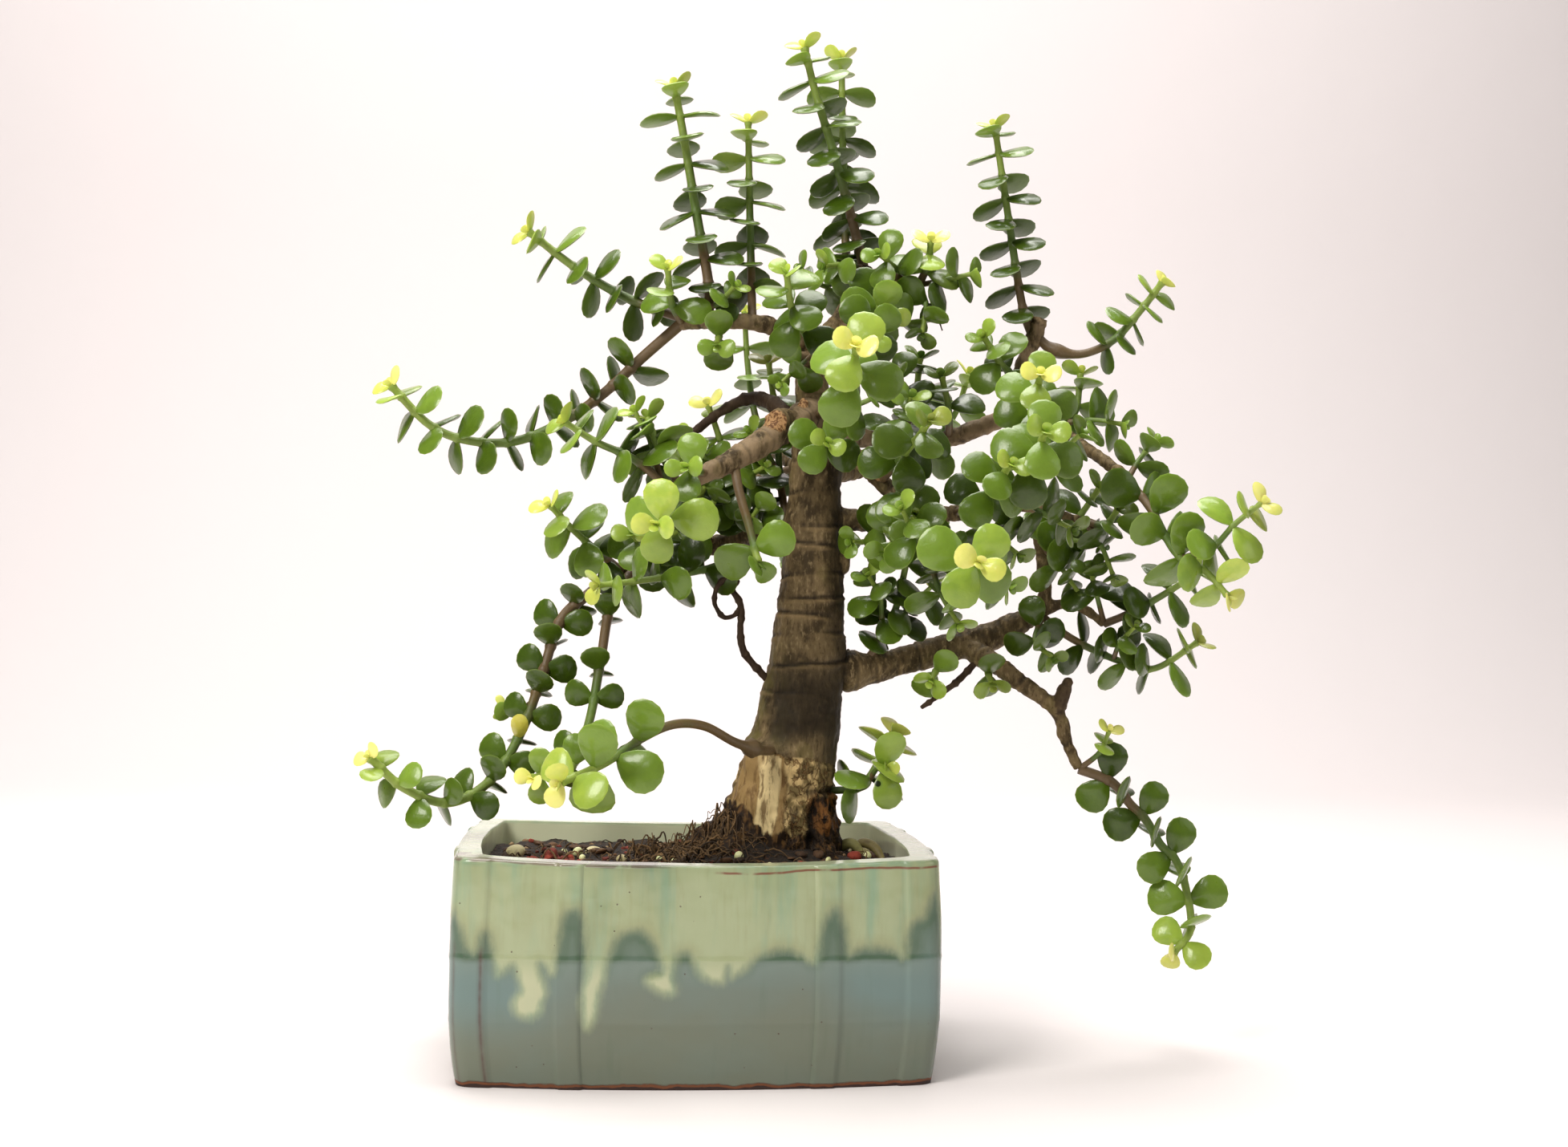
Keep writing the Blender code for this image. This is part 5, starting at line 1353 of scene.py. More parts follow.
SHOOTS = (
    # Upright shoots of the crown
    Shoot("crown_01", "crown_left", 0.81, ((3, -4, 306), (-2, -4, 333), (-8, -4, 366), (-12, -4, 386)),
        radius=1.9, step=9.8, tip_step=4, bare=12, young=0.85),
    side_shoot("crown_01_side", 0.06, (7, -12, 297), (13, -18, 303), bare=5, leaf=13),
    Shoot("crown_02", "crown_left", 0.53, ((21, 6, 310), (20, 10, 344), (19, 10, 376)), radius=1.6, step=9,
        tip_step=7, bare=14, phase=20, young=1.6),
    Shoot("crown_03", "leader", 0.98, ((62, 8, 338), (54, 4, 363), (46, 2, 387), (41, 0, 405)), radius=1.9,
        step=9.6, bare=6, phase=35, young=0.75),
    side_shoot("crown_03_side", 0, (60, -2, 316), (50, -8, 314), radius=1.2, leaf=15, phase=30),
    Shoot("crown_04", "leader", 0.76, ((62, 24, 325), (61, 32, 367), (60, 34, 411)), radius=1.7, step=10.4,
        bare=24, phase=10, young=1.4),
    side_shoot("crown_04_side", 0.2, (53, 16, 310), (42, 12, 316), bare=8, leaf=15),
    Shoot("crown_05", "high_right", 0.93, ((135, 10, 301), (131, 8, 320), (126, 6, 348), (121, 4, 376)),
        radius=1.7, step=9.2, tip_step=3, bare=12, phase=40, young=0.8),
    Shoot("crown_06", "high_right", 0.95, ((147, 8, 285), (159, 6, 283), (172, 4, 289), (183, 0, 302),
        (190, -4, 312)), radius=1.7, step=7.4, bare=28, phase=60, leaf=13.5, woody=0.5, heel=(12, 1.2)),
    Shoot("crown_07", "crown_right", 0.97, ((91, -14, 315), (91, -20, 323)), bare=5, phase=10, young=1.6),
    side_shoot("crown_07_side", 0, (98, -12, 309), (108, -16, 311), bare=6, phase=40),
    side_shoot("crown_07_low", 0, (90, -16, 298), (88, -20, 286), bare=8, leaf=15, phase=20),
    side_shoot("crown_07_near", 0, (78, -14, 313), (70, -24, 316), bare=8, leaf=15),
    Shoot("crown_08", "leader", 0.38, ((41, -28, 282), (33, -52, 289), (30, -60, 301)), bare=40, phase=60,
        tip=0.25),
    side_shoot("crown_08_side", 0.1, (38, -12, 271), (32, -18, 265), radius=1, leaf=12),
    Shoot("crown_09", "crown_left", 0.98, ((-12, -16, 296), (-14, -24, 308)), tip_step=8, bare=8, phase=32,
        tip=0.2),
    Shoot("crown_10", "crown_left", 0.72, ((6, -22, 279),), bare=12, turn=0.7, tip=0.45),
    # Left side
    Shoot("left_01", "crown_left", 0.88, ((-20, 4, 297), (-35, 8, 304), (-52, 8, 314), (-70, 6, 327)), radius=1.9,
        bare=16, phase=20),
    Shoot("left_02", "crown_left", 1, ((-23, 6, 277), (-39, 10, 262), (-56, 12, 250), (-75, 12, 242),
        (-94, 10, 242), (-109, 8, 248), (-124, 6, 263)), radius=2.1, step=10, bare=20, phase=35, turn=0.35,
        woody=0.4),
    Shoot("left_03", "sawn_left", 1, ((-26, -54, 230), (-40, -56, 236), (-52, -58, 243)), bare=10, phase=30,
        tip=0.2),
    side_shoot("left_03_side", 0.1, (-20, -44, 238), (-26, -44, 249), tip=0.3, bare=6, leaf=14),
    Shoot("left_04", "sawn_left", 0.95, ((-17, -48, 235), (-21, -44, 247)), bare=8, phase=32, tip=0.2),
    Shoot("left_05", "sawn_left", 0.82, ((-7, -70, 226),), bare=14, tip=0.35),
    Shoot("left_06", "low_left", 0.35, ((15, 18, 226), (9, 10, 245), (4, 6, 258)), step=10.5, bare=14, phase=15),
    side_shoot("left_06_side", 0.2, (21, 8, 228), (27, 0, 233), leaf=14),
    side_shoot("left_06_low", 0.1, (10, 8, 222), (5, 0, 214), leaf=14),
    side_shoot("left_06_far", 0.4, (2, 6, 238), (-6, 0, 243), tip=0.3, leaf=14),
    Shoot("left_07", "low_left", 0.09, ((35, 18, 228), (33, 16, 252), (29, 12, 277)), step=10.5, bare=16),
    side_shoot("left_07_side", 0.35, (28, 8, 240), (21, 2, 247), leaf=14),
    side_shoot("left_07_low", 0.1, (28, 8, 218), (22, 0, 212), tip=0.5, leaf=14),
    Shoot("left_08", "sawn_left", 0.88, ((-11, -68, 209), (-18, -88, 204)), step=12, bare=24, phase=10, leaf=18.5,
        young=2.6, tip=0.2),
    Shoot("left_09", "low_left", 0.98, ((-39, 14, 197), (-49, 0, 205), (-59, -8, 215)), phase=30, tip=0.1),
    Shoot("left_10", "low_left", 1, ((-43, 28, 181), (-55, 22, 169), (-62, 14, 146), (-69, 6, 125),
        (-80, -4, 106), (-96, -12, 97), (-113, -18, 103), (-126, -22, 115)), radius=2.1, step=10.5, bare=18, phase=35,
        turn=0.6, leaf=13.5, woody=0.45),
    Shoot("left_10_side", "left_10", 0.42, ((-72, 18, 132), (-78, 22, 133)), radius=1, bare=7, leaf=11, tip=0.1),
    Shoot("left_11", "low_left", 0.9, ((-34, 22, 177), (-38, 6, 153), (-42, -8, 129), (-48, -30, 113),
        (-62, -56, 110)), radius=1.9, step=13, bare=24, phase=10, turn=0.5, leaf=13, woody=0.4, sparse=True),
    Shoot("left_12", "trunk", 0.36, ((28, -20, 119), (15, -40, 123), (2, -54, 130), (-10, -64, 131),
        (-22, -72, 126), (-35, -86, 118), (-50, -100, 112)), radius=1.8, step=12, bare=96, phase=45, turn=0.75,
        leaf=18.5, young=1.3, woody=0.78, heel=(36, 2.0)),
    Shoot("left_13", "sawn_left", 0.66, ((14, -46, 220), (18, -52, 205), (21, -58, 192)), radius=1.8, bare=34,
        phase=60, turn=0.7, leaf=19.5, young=2.6, tip=0.6, woody=0.85),
    Shoot("left_14", "low_left", 0.18, ((10, 4, 193), (-13, -12, 187), (-39, -22, 183)), step=11, bare=34,
        phase=30, tip=0.1),
    Shoot("left_15", "low_left", 0.53, ((0, 14, 214), (3, 4, 225)), bare=12, tip=0.4),
    Shoot("left_16", "low_left", 0.75, ((-18, 14, 197), (-26, -6, 204)), bare=14, tip=0.3),
    side_shoot("left_16_side", 0.1, (-14, 4, 200), (-8, -6, 206), leaf=14),
    # Right side
    Shoot("right_01", "low_right", 1, ((169, -10, 107), (177, -10, 98), (183, -11, 92), (189, -12, 82),
        (195, -13, 76), (199, -14, 65), (200, -18, 49), (192, -22, 40)), radius=1.8, step=10, bare=6, phase=65,
        turn=0.85, young=1.5),
    Shoot("right_01_side", "right_01", 0, ((163, -14, 119), (166, -18, 128)), radius=1.1, leaf=12),
    Shoot("right_02", "high_fork", 1, ((175, -48, 214), (182, -56, 198), (192, -62, 191), (199, -66, 182)),
        step=10, bare=6, phase=45, turn=0.5, leaf=17.5, young=1.7),
    side_shoot("right_02_up", 0, (174, -30, 236), (181, -28, 244), leaf=14, phase=30),
    Shoot("right_02_side", "right_02", 0.65, ((194, -62, 200), (201, -68, 209), (210, -72, 217)), radius=1.2,
        bare=12, phase=30, turn=0.3, young=2.0),
    Shoot("right_03", "heavy_fork", 1, ((176, -6, 175), (187, -14, 182), (201, -22, 192)), phase=30, tip=0.3),
    side_shoot("right_03_side", 0, (163, -8, 182), (158, -16, 193), leaf=15, phase=20),
    Shoot("right_04", "heavy_right", 0.72, ((155, 4, 165), (174, 0, 156), (188, -4, 153), (205, -8, 164)),
        bare=16, phase=30, turn=0.3),
    side_shoot("right_04_low", 0.05, (138, -6, 164), (143, -16, 157), bare=8, leaf=13),
    side_shoot("right_04_side", 0.5, (172, -10, 163), (176, -18, 170), radius=1, bare=6, leaf=13),
    Shoot("right_05", "drop_right", 1, ((92, -80, 191), (94, -118, 191)), step=13, bare=60, phase=25, leaf=19.5,
        young=1.0),
    side_shoot("right_05_side", 0.32, (80, -66, 202), (73, -74, 212), bare=8, leaf=15),
    side_shoot("right_05_far", 0.25, (102, -62, 190), (114, -70, 184), bare=8, phase=40),
    side_shoot("right_05_low", 0.12, (92, -48, 182), (98, -54, 170), bare=8, leaf=15),
    Shoot("right_06", "mid_right", 0.68, ((121, -66, 227), (121, -100, 239)), step=11, bare=50, phase=10,
        leaf=18.5, young=1.2, tip=0.32),
    side_shoot("right_06_side", 0.36, (132, -56, 232), (142, -64, 242), bare=8, phase=35),
    side_shoot("right_06_low", 0.3, (130, -48, 214), (141, -56, 207), bare=8, phase=20),
    Shoot("right_07", "high_right", 0.68, ((128, -40, 250), (124, -76, 263)), step=11, bare=56, phase=10),
    Shoot("right_08", "high_fork", 0.3, ((156, 6, 258), (159, 8, 275)), tip=0.15),
    side_shoot("right_08_side", 0.05, (160, -8, 254), (171, -14, 252), phase=40),
    Shoot("right_09", "high_right", 0.8, ((123, -6, 276), (114, -14, 286)), bare=12, tip=0.3),
    Shoot("right_10", "high_right", 0.48, ((104, 10, 259), (100, 4, 272)), bare=12, tip=0.35),
    Shoot("right_11", "high_right", 0.33, ((92, 26, 264), (94, 24, 282)), bare=12, tip=0.4),
    side_shoot("right_11_side", 0.5, (86, 12, 268), (80, 2, 273), bare=6, leaf=15),
    Shoot("right_12", "drop_right", 0.51, ((76, -60, 234), (82, -80, 244)), bare=30, tip=0.2),
    side_shoot("right_12_side", 0.3, (76, -40, 246), (80, -46, 257), bare=8, leaf=15),
    Shoot("right_13", "mid_right", 0.51, ((106, -58, 218), (111, -88, 228)), bare=36, phase=30, tip=0.3),
    side_shoot("right_13_side", 0.35, (112, -46, 206), (121, -52, 197), bare=8, phase=35),
    Shoot("right_14", "mid_right", 0.27, ((81, -34, 208), (80, -60, 211)), bare=28, phase=20, tip=0.35),
    side_shoot("right_14_low", 0.25, (76, -36, 203), (71, -40, 197), tip=0.6, bare=5, turn=0.5),
    side_shoot("right_14_near", 0, (68, -14, 203), (61, -20, 202), tip=0.6, leaf=14),
    Shoot("right_15", "heavy_right", 0.14, ((80, 2, 171), (85, -4, 194), (87, -10, 208)), step=11, bare=14,
        phase=20, tip=0.4),
    side_shoot("right_15_side", 0.25, (74, -8, 180), (68, -16, 189), leaf=14),
    side_shoot("right_15_far", 0.3, (92, -6, 182), (100, -12, 190), leaf=14),
    Shoot("right_16", "mid_right", 1, ((161, -28, 210), (165, -32, 216)), bare=6, tip=0.3),
    side_shoot("right_16_low", 0, (160, -26, 202), (164, -30, 190), bare=6, leaf=15, phase=50),
    Shoot("right_17", "trunk", 0.27, ((66, -4, 103), (72, -6, 110), (80, -6, 126)), step=8, bare=26, phase=60,
        leaf=17.5, young=2.2),
    Shoot("right_17_near", "right_17", 0.62, ((73.5, -9, 111.5), (75.8, -14, 112)), radius=1.1, bare=8, phase=90,
        lift=-22, leaf=29, tip=0.3),
    Shoot("right_18", "heavy_right", 0.42, ((96, -4, 147),), bare=10, tip=0.3),
    Shoot("right_19", "low_right", 0.15, ((120, -8, 146),), bare=10, tip=0.3),
    Shoot("right_20", "heavy_right", 0.94, ((154, -2, 212), (163, -10, 226)), bare=8, phase=25, tip=0.35),
    side_shoot("right_20_side", 0.1, (152, -6, 205), (163, -14, 203), bare=6, phase=40),
    side_shoot("right_20_low", 0, (150, 2, 194), (156, -4, 184), leaf=15, phase=10),
    # Towards the front
    Shoot("front_01", "leader", 0.02, ((48, -52, 253), (52, -92, 258), (50, -116, 266)), step=11, bare=84,
        phase=20, leaf=18.5, young=1.3),
    side_shoot("front_01_side", 0.35, (60, -46, 254), (70, -52, 259), bare=8, leaf=15),
    Shoot("front_02", "trunk", 0.91, ((48, -30, 239), (48, -44, 239)), bare=24, phase=30, tip=0.35),
    Shoot("front_03", "leader", 0.77, ((69, -14, 298), (73, -32, 290)), bare=20, tip=0.2),
    Shoot("front_04", "leader", 0.61, ((64, -24, 287), (66, -44, 281)), bare=24, phase=45, tip=0.35),
    # Towards the back
    Shoot("back_01", "back_left", 1, ((30, 96, 262), (26, 100, 286), (24, 100, 312)), step=13, bare=12),
    Shoot("back_02", "back_left", 0.6, ((20, 70, 232), (4, 84, 236), (-8, 92, 246)), bare=14, step=13),
    Shoot("back_03", "back_right", 1, ((110, 90, 252), (122, 98, 268), (128, 100, 286)), bare=12, step=13),
    Shoot("back_04", "back_right", 0.62, ((92, 64, 222), (106, 74, 208), (112, 82, 194)), bare=14, phase=45,
        step=13),
    Shoot("back_05", "back_left", 0.45, ((52, 56, 214), (54, 76, 200), (50, 88, 186)), bare=14, phase=45,
        step=13),
)

# The leaves' lift and size from the tip down, and the bends that a crowded leaf tries in turn:
# lift, swing (degrees) and size
TIP_SIZES = (0.55, 0.85, 1.0)
TIP_LIFTS = (34.0, 8.0, -6.0, -14.0, -18.0)
BENDS = (
    (0, 0, 1.0), (16, 0, 1.0), (-16, 0, 1.0), (0, 18, 1.0), (0, -18, 1.0),
    (30, 0, 0.95), (-30, 0, 0.95), (0, 34, 0.92), (0, -34, 0.92), (18, 20, 0.9),
    (18, -20, 0.9), (0, 0, 0.78), (30, 25, 0.78), (30, -25, 0.78), (45, 0, 0.7), (0, 0, 0.6),
)
VIEW = np.array([0.0, 1.0, 0.0])
UP = np.array([0.0, 0.0, 1.0])
LIGHT = np.array([0.0, -1.0, 0.35])
LEAN_SHARES = (0.2, 1.6)
# Where the light comes from, and how far and how wide towards it other leaves stand to paint their shade into a leaf
SUN = np.array([-0.5, -0.7, 0.5])
SHADE_REACH, SHADE_WIDTH, DEEPEST_SHADE = (3.0, 85.0), 10.5, 0.78


@dataclass(frozen=True)
class Outline:
    """A leaf seen from above: its half width, how slim its stalk is and how much of the sphere it takes."""

    width: float
    pinch: float
    reach: float


PART_LEAF = Outline(0.52, 0.42, 0.9)
FINE_LEAF = Outline(0.53, 0.36, 1.0)


@dataclass(frozen=True)
class Frame:
    """Where one leaf grows: its base, the way that it points, the way that it faces and its length."""

    base: Array
    along: Array
    facing: Array
    length: float

    def put(self, shape: Array) -> Array:
        """A leaf that is 1 long, placed here."""
        across = np.cross(self.facing, self.along)
        sized = shape * self.length
        return self.base + sized[:, :1] * self.along + sized[:, 1:2] * across + sized[:, 2:] * self.facing

    def middle(self) -> Array:
        """The middle of the leaf's blade."""
        return self.put(np.array([[0.6, 0.0, 0.0]]))[0]

    def put_fattened(self, shape: Array) -> Array:
        """The same with a margin round it and a shorter stalk, to test what it would touch."""
        margin, middle = 0.45, np.array([0.62, 0.0, 0.0])
        reach = abs(shape - middle).max(axis=0) * self.length + 1e-6
        fat = middle + (shape - middle) * (1 + margin / reach)
        fat[:, 0] = np.maximum(fat[:, 0], 0.2)
        return self.put(fat)


@dataclass(frozen=True)
class LeafFinish:
    """Waxy leaves from yellow at the tips to dark green, with a paler rim and underside, and painted shade on leaves
    that stand behind others.
    """

    by_age: tuple[tuple[float, Colour], ...] = (
        (0.0, (0.97, 0.96, 0.54)), (0.12, (0.88, 0.90, 0.42)), (0.28, (0.67, 0.77, 0.30)),
        (0.5, (0.50, 0.62, 0.22)), (0.78, (0.37, 0.48, 0.12)), (1.0, (0.24, 0.33, 0.04)),
    )
    rim: Colour = (0.62, 0.69, 0.34)
    under: Colour = (0.50, 0.60, 0.30)
    yellowed: Colour = (0.90, 0.86, 0.36)
    # Painted shade: the colour of leaves deep behind others, and of the painted hole
    deep: Colour = (0.10, 0.15, 0.0)
    hole: Triple = (73.0, 106.0, 1.3)

    def material(self) -> bpy.types.Material:
        """Builds the shader from the values that Foliage stores on each leaf."""
        graph = Graph("leaf")
        mottle = graph.grain(5.0, 3)
        age = graph.value("age") + (graph.value("tint") - 0.5) * 0.2 + (mottle - 0.5) * 0.2
        colour = graph.ramp(age.clamped(), self.by_age)
        colour = graph.mix(graph.value("yellowed").clamped() * 0.9, colour, self.yellowed)
        colour = graph.mix(graph.value("under").clamped() * 0.12, colour, self.under)
        colour = graph.mix(graph.value("rim").between(0.82, 1.0) * 0.25, colour, self.rim)
        # Painted shade where other leaves stand towards the light
        colour = graph.mix(graph.value("gloom").clamped(), colour, self.deep)
        # A painted hole in one leaf: a dark disc standing for the shade seen through it, inside a paler edge
        aside, above = graph.axis(0) - self.hole[0], graph.axis(2) - self.hole[1]
        from_hole = (aside * aside + above * above).math("SQRT")
        colour = graph.mix(from_hole.between(self.hole[2] + 1.1, self.hole[2] + 0.4) * 0.6, colour, self.under)
        colour = graph.mix(from_hole.between(self.hole[2] + 0.2, self.hole[2] - 0.3), colour, self.deep)
        rough = 0.3 + graph.value("under").clamped() * 0.2 + (mottle - 0.5) * 0.12
        normal = graph.bump(graph.grain(2.4, 3) * 0.6 + graph.grain(0.7, 2) * 0.12, 0.3)
        wax = {"Specular_IOR_Level": 0.35, "Coat_Weight": 0.3, "Coat_Roughness": 0.12}
        flesh = {"Subsurface_Weight": 0.15, "Subsurface_Radius": (0.5, 1.0, 0.15), "Subsurface_Scale": 1.6 * MM}
        return graph.finish(Base_Color=colour, Roughness=rough, Normal=normal, **wax, **flesh)


@dataclass(frozen=True)
class StemFinish:
    """Stems that are green towards the tip and turn brown lower down."""

    by_age: tuple[tuple[float, Colour], ...] = (
        (0.0, (0.56, 0.64, 0.26)), (0.4, (0.34, 0.44, 0.17)), (0.68, (0.34, 0.36, 0.17)),
        (0.85, (0.42, 0.34, 0.19)), (1.0, (0.42, 0.34, 0.23)),
    )

    def material(self) -> bpy.types.Material:
        """Builds the shader."""
        graph = Graph("stem")
        age = graph.value("age") + (graph.grain(3.0, 3) - 0.5) * 0.25
        normal = graph.bump(graph.grain(1.0, 3), 0.2)
        return graph.finish(Base_Color=graph.ramp(age.clamped(), self.by_age), Roughness=0.5, Normal=normal)


class Surroundings:
    """Everything that a new leaf must stay clear of."""

    def __init__(self, nodes: dict[str, Object]) -> None:
        """Takes in the CAD nodes."""
        self.trees: list[tuple[Array, Array, BVHTree]] = []
        for node in nodes.values():
            self.add(points_of(node), [tuple(face.vertices) for face in node.data.polygons])

    @staticmethod
    def face_tree(points: Array, faces: Sequence[Sequence[int]]) -> BVHTree:
        """A search tree over these faces."""
        return BVHTree.FromPolygons([Vector(point) for point in points], faces)

    def add(self, points: Array, faces: Sequence[Sequence[int]]) -> None:
        """Takes in one more thing."""
        self.trees.append((points.min(axis=0), points.max(axis=0), self.face_tree(points, faces)))

    def touches(self, points: Array, faces: Sequence[Sequence[int]]) -> bool:
        """Whether these faces meet anything that stands there."""
        low, high, tree = points.min(axis=0), points.max(axis=0), None
        for there_low, there_high, there in self.trees:
            if (there_low > high).any() or (there_high < low).any():
                continue
            tree = tree or self.face_tree(points, faces)
            if tree.overlap(there):
                return True
        return False


@dataclass
class Foliage:
    """Every green shoot: a smooth stem with swollen nodes, and leaves copied from one master."""

    nodes: dict[str, Object]
    leaf_finish: LeafFinish = field(default_factory=LeafFinish)
    stem_finish: StemFinish = field(default_factory=StemFinish)
    yellowed: tuple[tuple[str, int, int], ...] = (("left_10", 8, 0),)

    def build(self) -> None:
        """Builds, dresses and hands in the shoots."""
        self.around = Surroundings(self.nodes)
        self.leaf_material = self.leaf_finish.material()
        self.stem_material = self.stem_finish.material()
        self.simple, self.simple_faces = self.simple_leaf()
        self.master = self.master_leaf()
        kept, added = self.settle()
        self.note_middles()
        LOG.info("leaves: %d as in the CAD part, %d added", kept, added)
        names = {shoot.name for shoot in SHOOTS}
        for shoot in SHOOTS:
            if shoot.parent not in names:
                family = [shoot] + [other for other in SHOOTS if other.parent == shoot.name]
                parts = [part for member in family for part in self.sprout(member)]
                sprout = join(f"sprout_{shoot.name}", parts)
                shade_by_angle(sprout, 60)
                hand_in(sprout, Slot.LEAF, self.leaf_material, shoot.name)
        bpy.data.objects.remove(self.master)

    def route_of(self, shoot: Shoot) -> Array:
        """The shoot's points, starting in the middle of what it grows from."""
        limb = next((limb for limb in LIMBS if limb.name == shoot.parent), None)
        if limb:
            parent = np.array(limb.points)
        else:
            parent = self.route_of(next(other for other in SHOOTS if other.name == shoot.parent))
        line = curve_through(parent, 1.0)
        start = line[round(shoot.share * (len(line) - 1)), :3]
        return np.vstack([start, np.array(shoot.route, float)])

    @staticmethod
    def stem_frames(line: Array) -> tuple[Array, Array, Array]:
        """Tangent, side and front at each sample, carried from the tip down so that they don't twist."""
        tangents = np.gradient(line, axis=0)
        tangents /= np.linalg.norm(tangents, axis=1)[:, None]
        guide = UP if abs(tangents[-1] @ VIEW) > 0.75 else VIEW
        side = unit(np.cross(guide, tangents[-1]))
        sides = []
        for tangent in tangents[::-1]:
            side = unit(side - (side @ tangent) * tangent)
            sides.append(side)
        sides = np.array(sides[::-1])
        return tangents, sides, np.cross(sides, tangents)

    def leaf_places(self, shoot: Shoot) -> Iterator[tuple[int, float, list[Frame]]]:
        """For each leaf its order from the tip, how far up the stem it stands, and a frame per bend."""
        rng = random.Random(shoot.name)
        sample = 0.5
        line = curve_through(self.route_of(shoot), sample)
        tangents, sides, fronts = self.stem_frames(line)
        light = unit(LIGHT)
        at = sample * (len(line) - 1) - 0.55
        order = 0
        while at > shoot.bare:
            i = round(at / sample)
            pair_angle = shoot.phase + 90 * order + rng.uniform(-9, 9)
            for half_turn in (0, 180):
                angle = pair_angle + half_turn + rng.uniform(-6, 6)
                lift = shoot.lift + TIP_LIFTS[min(order, len(TIP_LIFTS) - 1)] + rng.uniform(-7, 7)
                length = shoot.leaf * TIP_SIZES[min(order, len(TIP_SIZES) - 1)] * rng.uniform(0.94, 1.05)
                lean = shoot.lean * rng.uniform(*LEAN_SHARES)
                tries = []
                for more_lift, swing, size in BENDS:
                    swung, lifted = math.radians(angle + swing), math.radians(lift + more_lift)
                    out = sides[i] * math.cos(swung) + fronts[i] * math.sin(swung)
                    along = out * math.cos(lifted) + tangents[i] * math.sin(lifted)
                    facing = tangents[i] * math.cos(lifted) - out * math.sin(lifted)
                    facing = (1 - shoot.turn) * facing + shoot.turn * light
                    facing = unit(facing - (facing @ along) * along)
                    facing = facing + math.copysign(lean, facing @ VIEW) * VIEW
                    facing = unit(facing - (facing @ along) * along)
                    tries.append(Frame(line[i], along, facing, length * size))
                yield order, at, tries
            at -= (shoot.tip_step, 0.8 * shoot.step, shoot.step)[min(order, 2)]
            order += 1

    @staticmethod
    def blade(sphere: Array, outline: Outline, thickness: float, curl: float) -> Array:
        """Where the points of a unit sphere go on a leaf that is 1 long and faces up.

        Args:
            sphere: The points; +x is the stalk's side.
            outline: The leaf's form seen from above.
            thickness: Half the leaf's thickness.
            curl: How far its tip bends down.

        Returns:
            The leaf's points.
        """
        x, y, z = sphere.T
        out = np.maximum(0, 0.5 * (1 - x / outline.reach))
        across = -y * outline.width * out**outline.pinch
        return np.stack([out, across, thickness * z - curl * np.maximum(0, -x) ** 2], axis=1)

    def simple_leaf(self) -> tuple[Array, list[tuple[int, ...]]]:
        """The CAD part's leaf: a ring of six points and one above and below."""
        turns = [math.pi / 2 + math.tau * k / 6 for k in range(6)]
        sphere = [(math.cos(turn), math.sin(turn), 0.0) for turn in turns] + [(0, 0, 1), (0, 0, -1)]
        faces = [(k, (k + 1) % 6, pole) for k in range(6) for pole in (6, 7)]
        return self.blade(np.array(sphere), PART_LEAF, 0.06, 0.05), faces

    def master_leaf(self) -> Object:
        """The leaf that all others are copied from, 1 m long and still a sphere in form."""
        bpy.ops.mesh.primitive_uv_sphere_add(segments=16, ring_count=4, radius=1.0)
        master = bpy.context.object
        master.name = "master_leaf"
        master.data.materials.append(self.leaf_material)
        sphere = points_of(master) * MM
        give_values(master, "rim", np.hypot(sphere[:, 0], sphere[:, 1]))
        give_values(master, "under", smooth_step(sphere[:, 2], 0.05, -0.4))
        self.sphere = sphere
        return master

    def settle(self) -> tuple[int, int]:
        """Decides where every leaf grows: first those of the CAD part, then the ones left out there.

        Returns:
            How many leaves there are of either kind.
        """
        self.leaves: dict[str, list[tuple[int, float, Frame]]] = {shoot.name: [] for shoot in SHOOTS}
        tree = tree_of(np.vstack([points_of(node) for node in self.nodes.values()]))
        waiting, kept, added = [], 0, 0
        for shoot in SHOOTS:
            for order, at, tries in self.leaf_places(shoot):
                grown = next((frame for frame in tries if self.is_in_part(frame, tree)), None)
                if grown:
                    self.leaves[shoot.name].append((order, at, grown))
                    kept += 1
                elif not shoot.sparse:
                    waiting.append((shoot, order, at, tries))
        for shoot, order, at, tries in waiting:
            for frame in tries:
                if not self.around.touches(frame.put_fattened(self.simple), self.simple_faces):
                    self.around.add(frame.put(self.simple), self.simple_faces)
                    self.leaves[shoot.name].append((order, at, frame))
                    added += 1
                    break
        return kept, added

    def note_middles(self) -> None:
        """Notes where each leaf's middle is, to tell how much shade the others paint into each."""
        self.middles = np.array([frame.middle() for leaves in self.leaves.values() for *_, frame in leaves])
        self.to_sun = unit(SUN)

    def gloom(self, frame: Frame) -> float:
        """How much shade is painted into this leaf's colour, by how deep it stands behind the others, from 0 for open
        light up to DEEPEST_SHADE.
        """
        away = self.middles - frame.middle()
        ahead = away @ self.to_sun
        aside = np.linalg.norm(away - ahead[:, None] * self.to_sun, axis=1)
        over = ((ahead > SHADE_REACH[0]) & (ahead < SHADE_REACH[1]) & (aside < SHADE_WIDTH)).sum()
        return DEEPEST_SHADE * (1 - math.exp(-over / 4.0))

    def is_in_part(self, frame: Frame, tree: KDTree) -> bool:
        """Whether the CAD part has a leaf in this very place."""
        near = sum(tree.find(point)[2] < 0.05 for point in frame.put(self.simple))
        return near >= 4

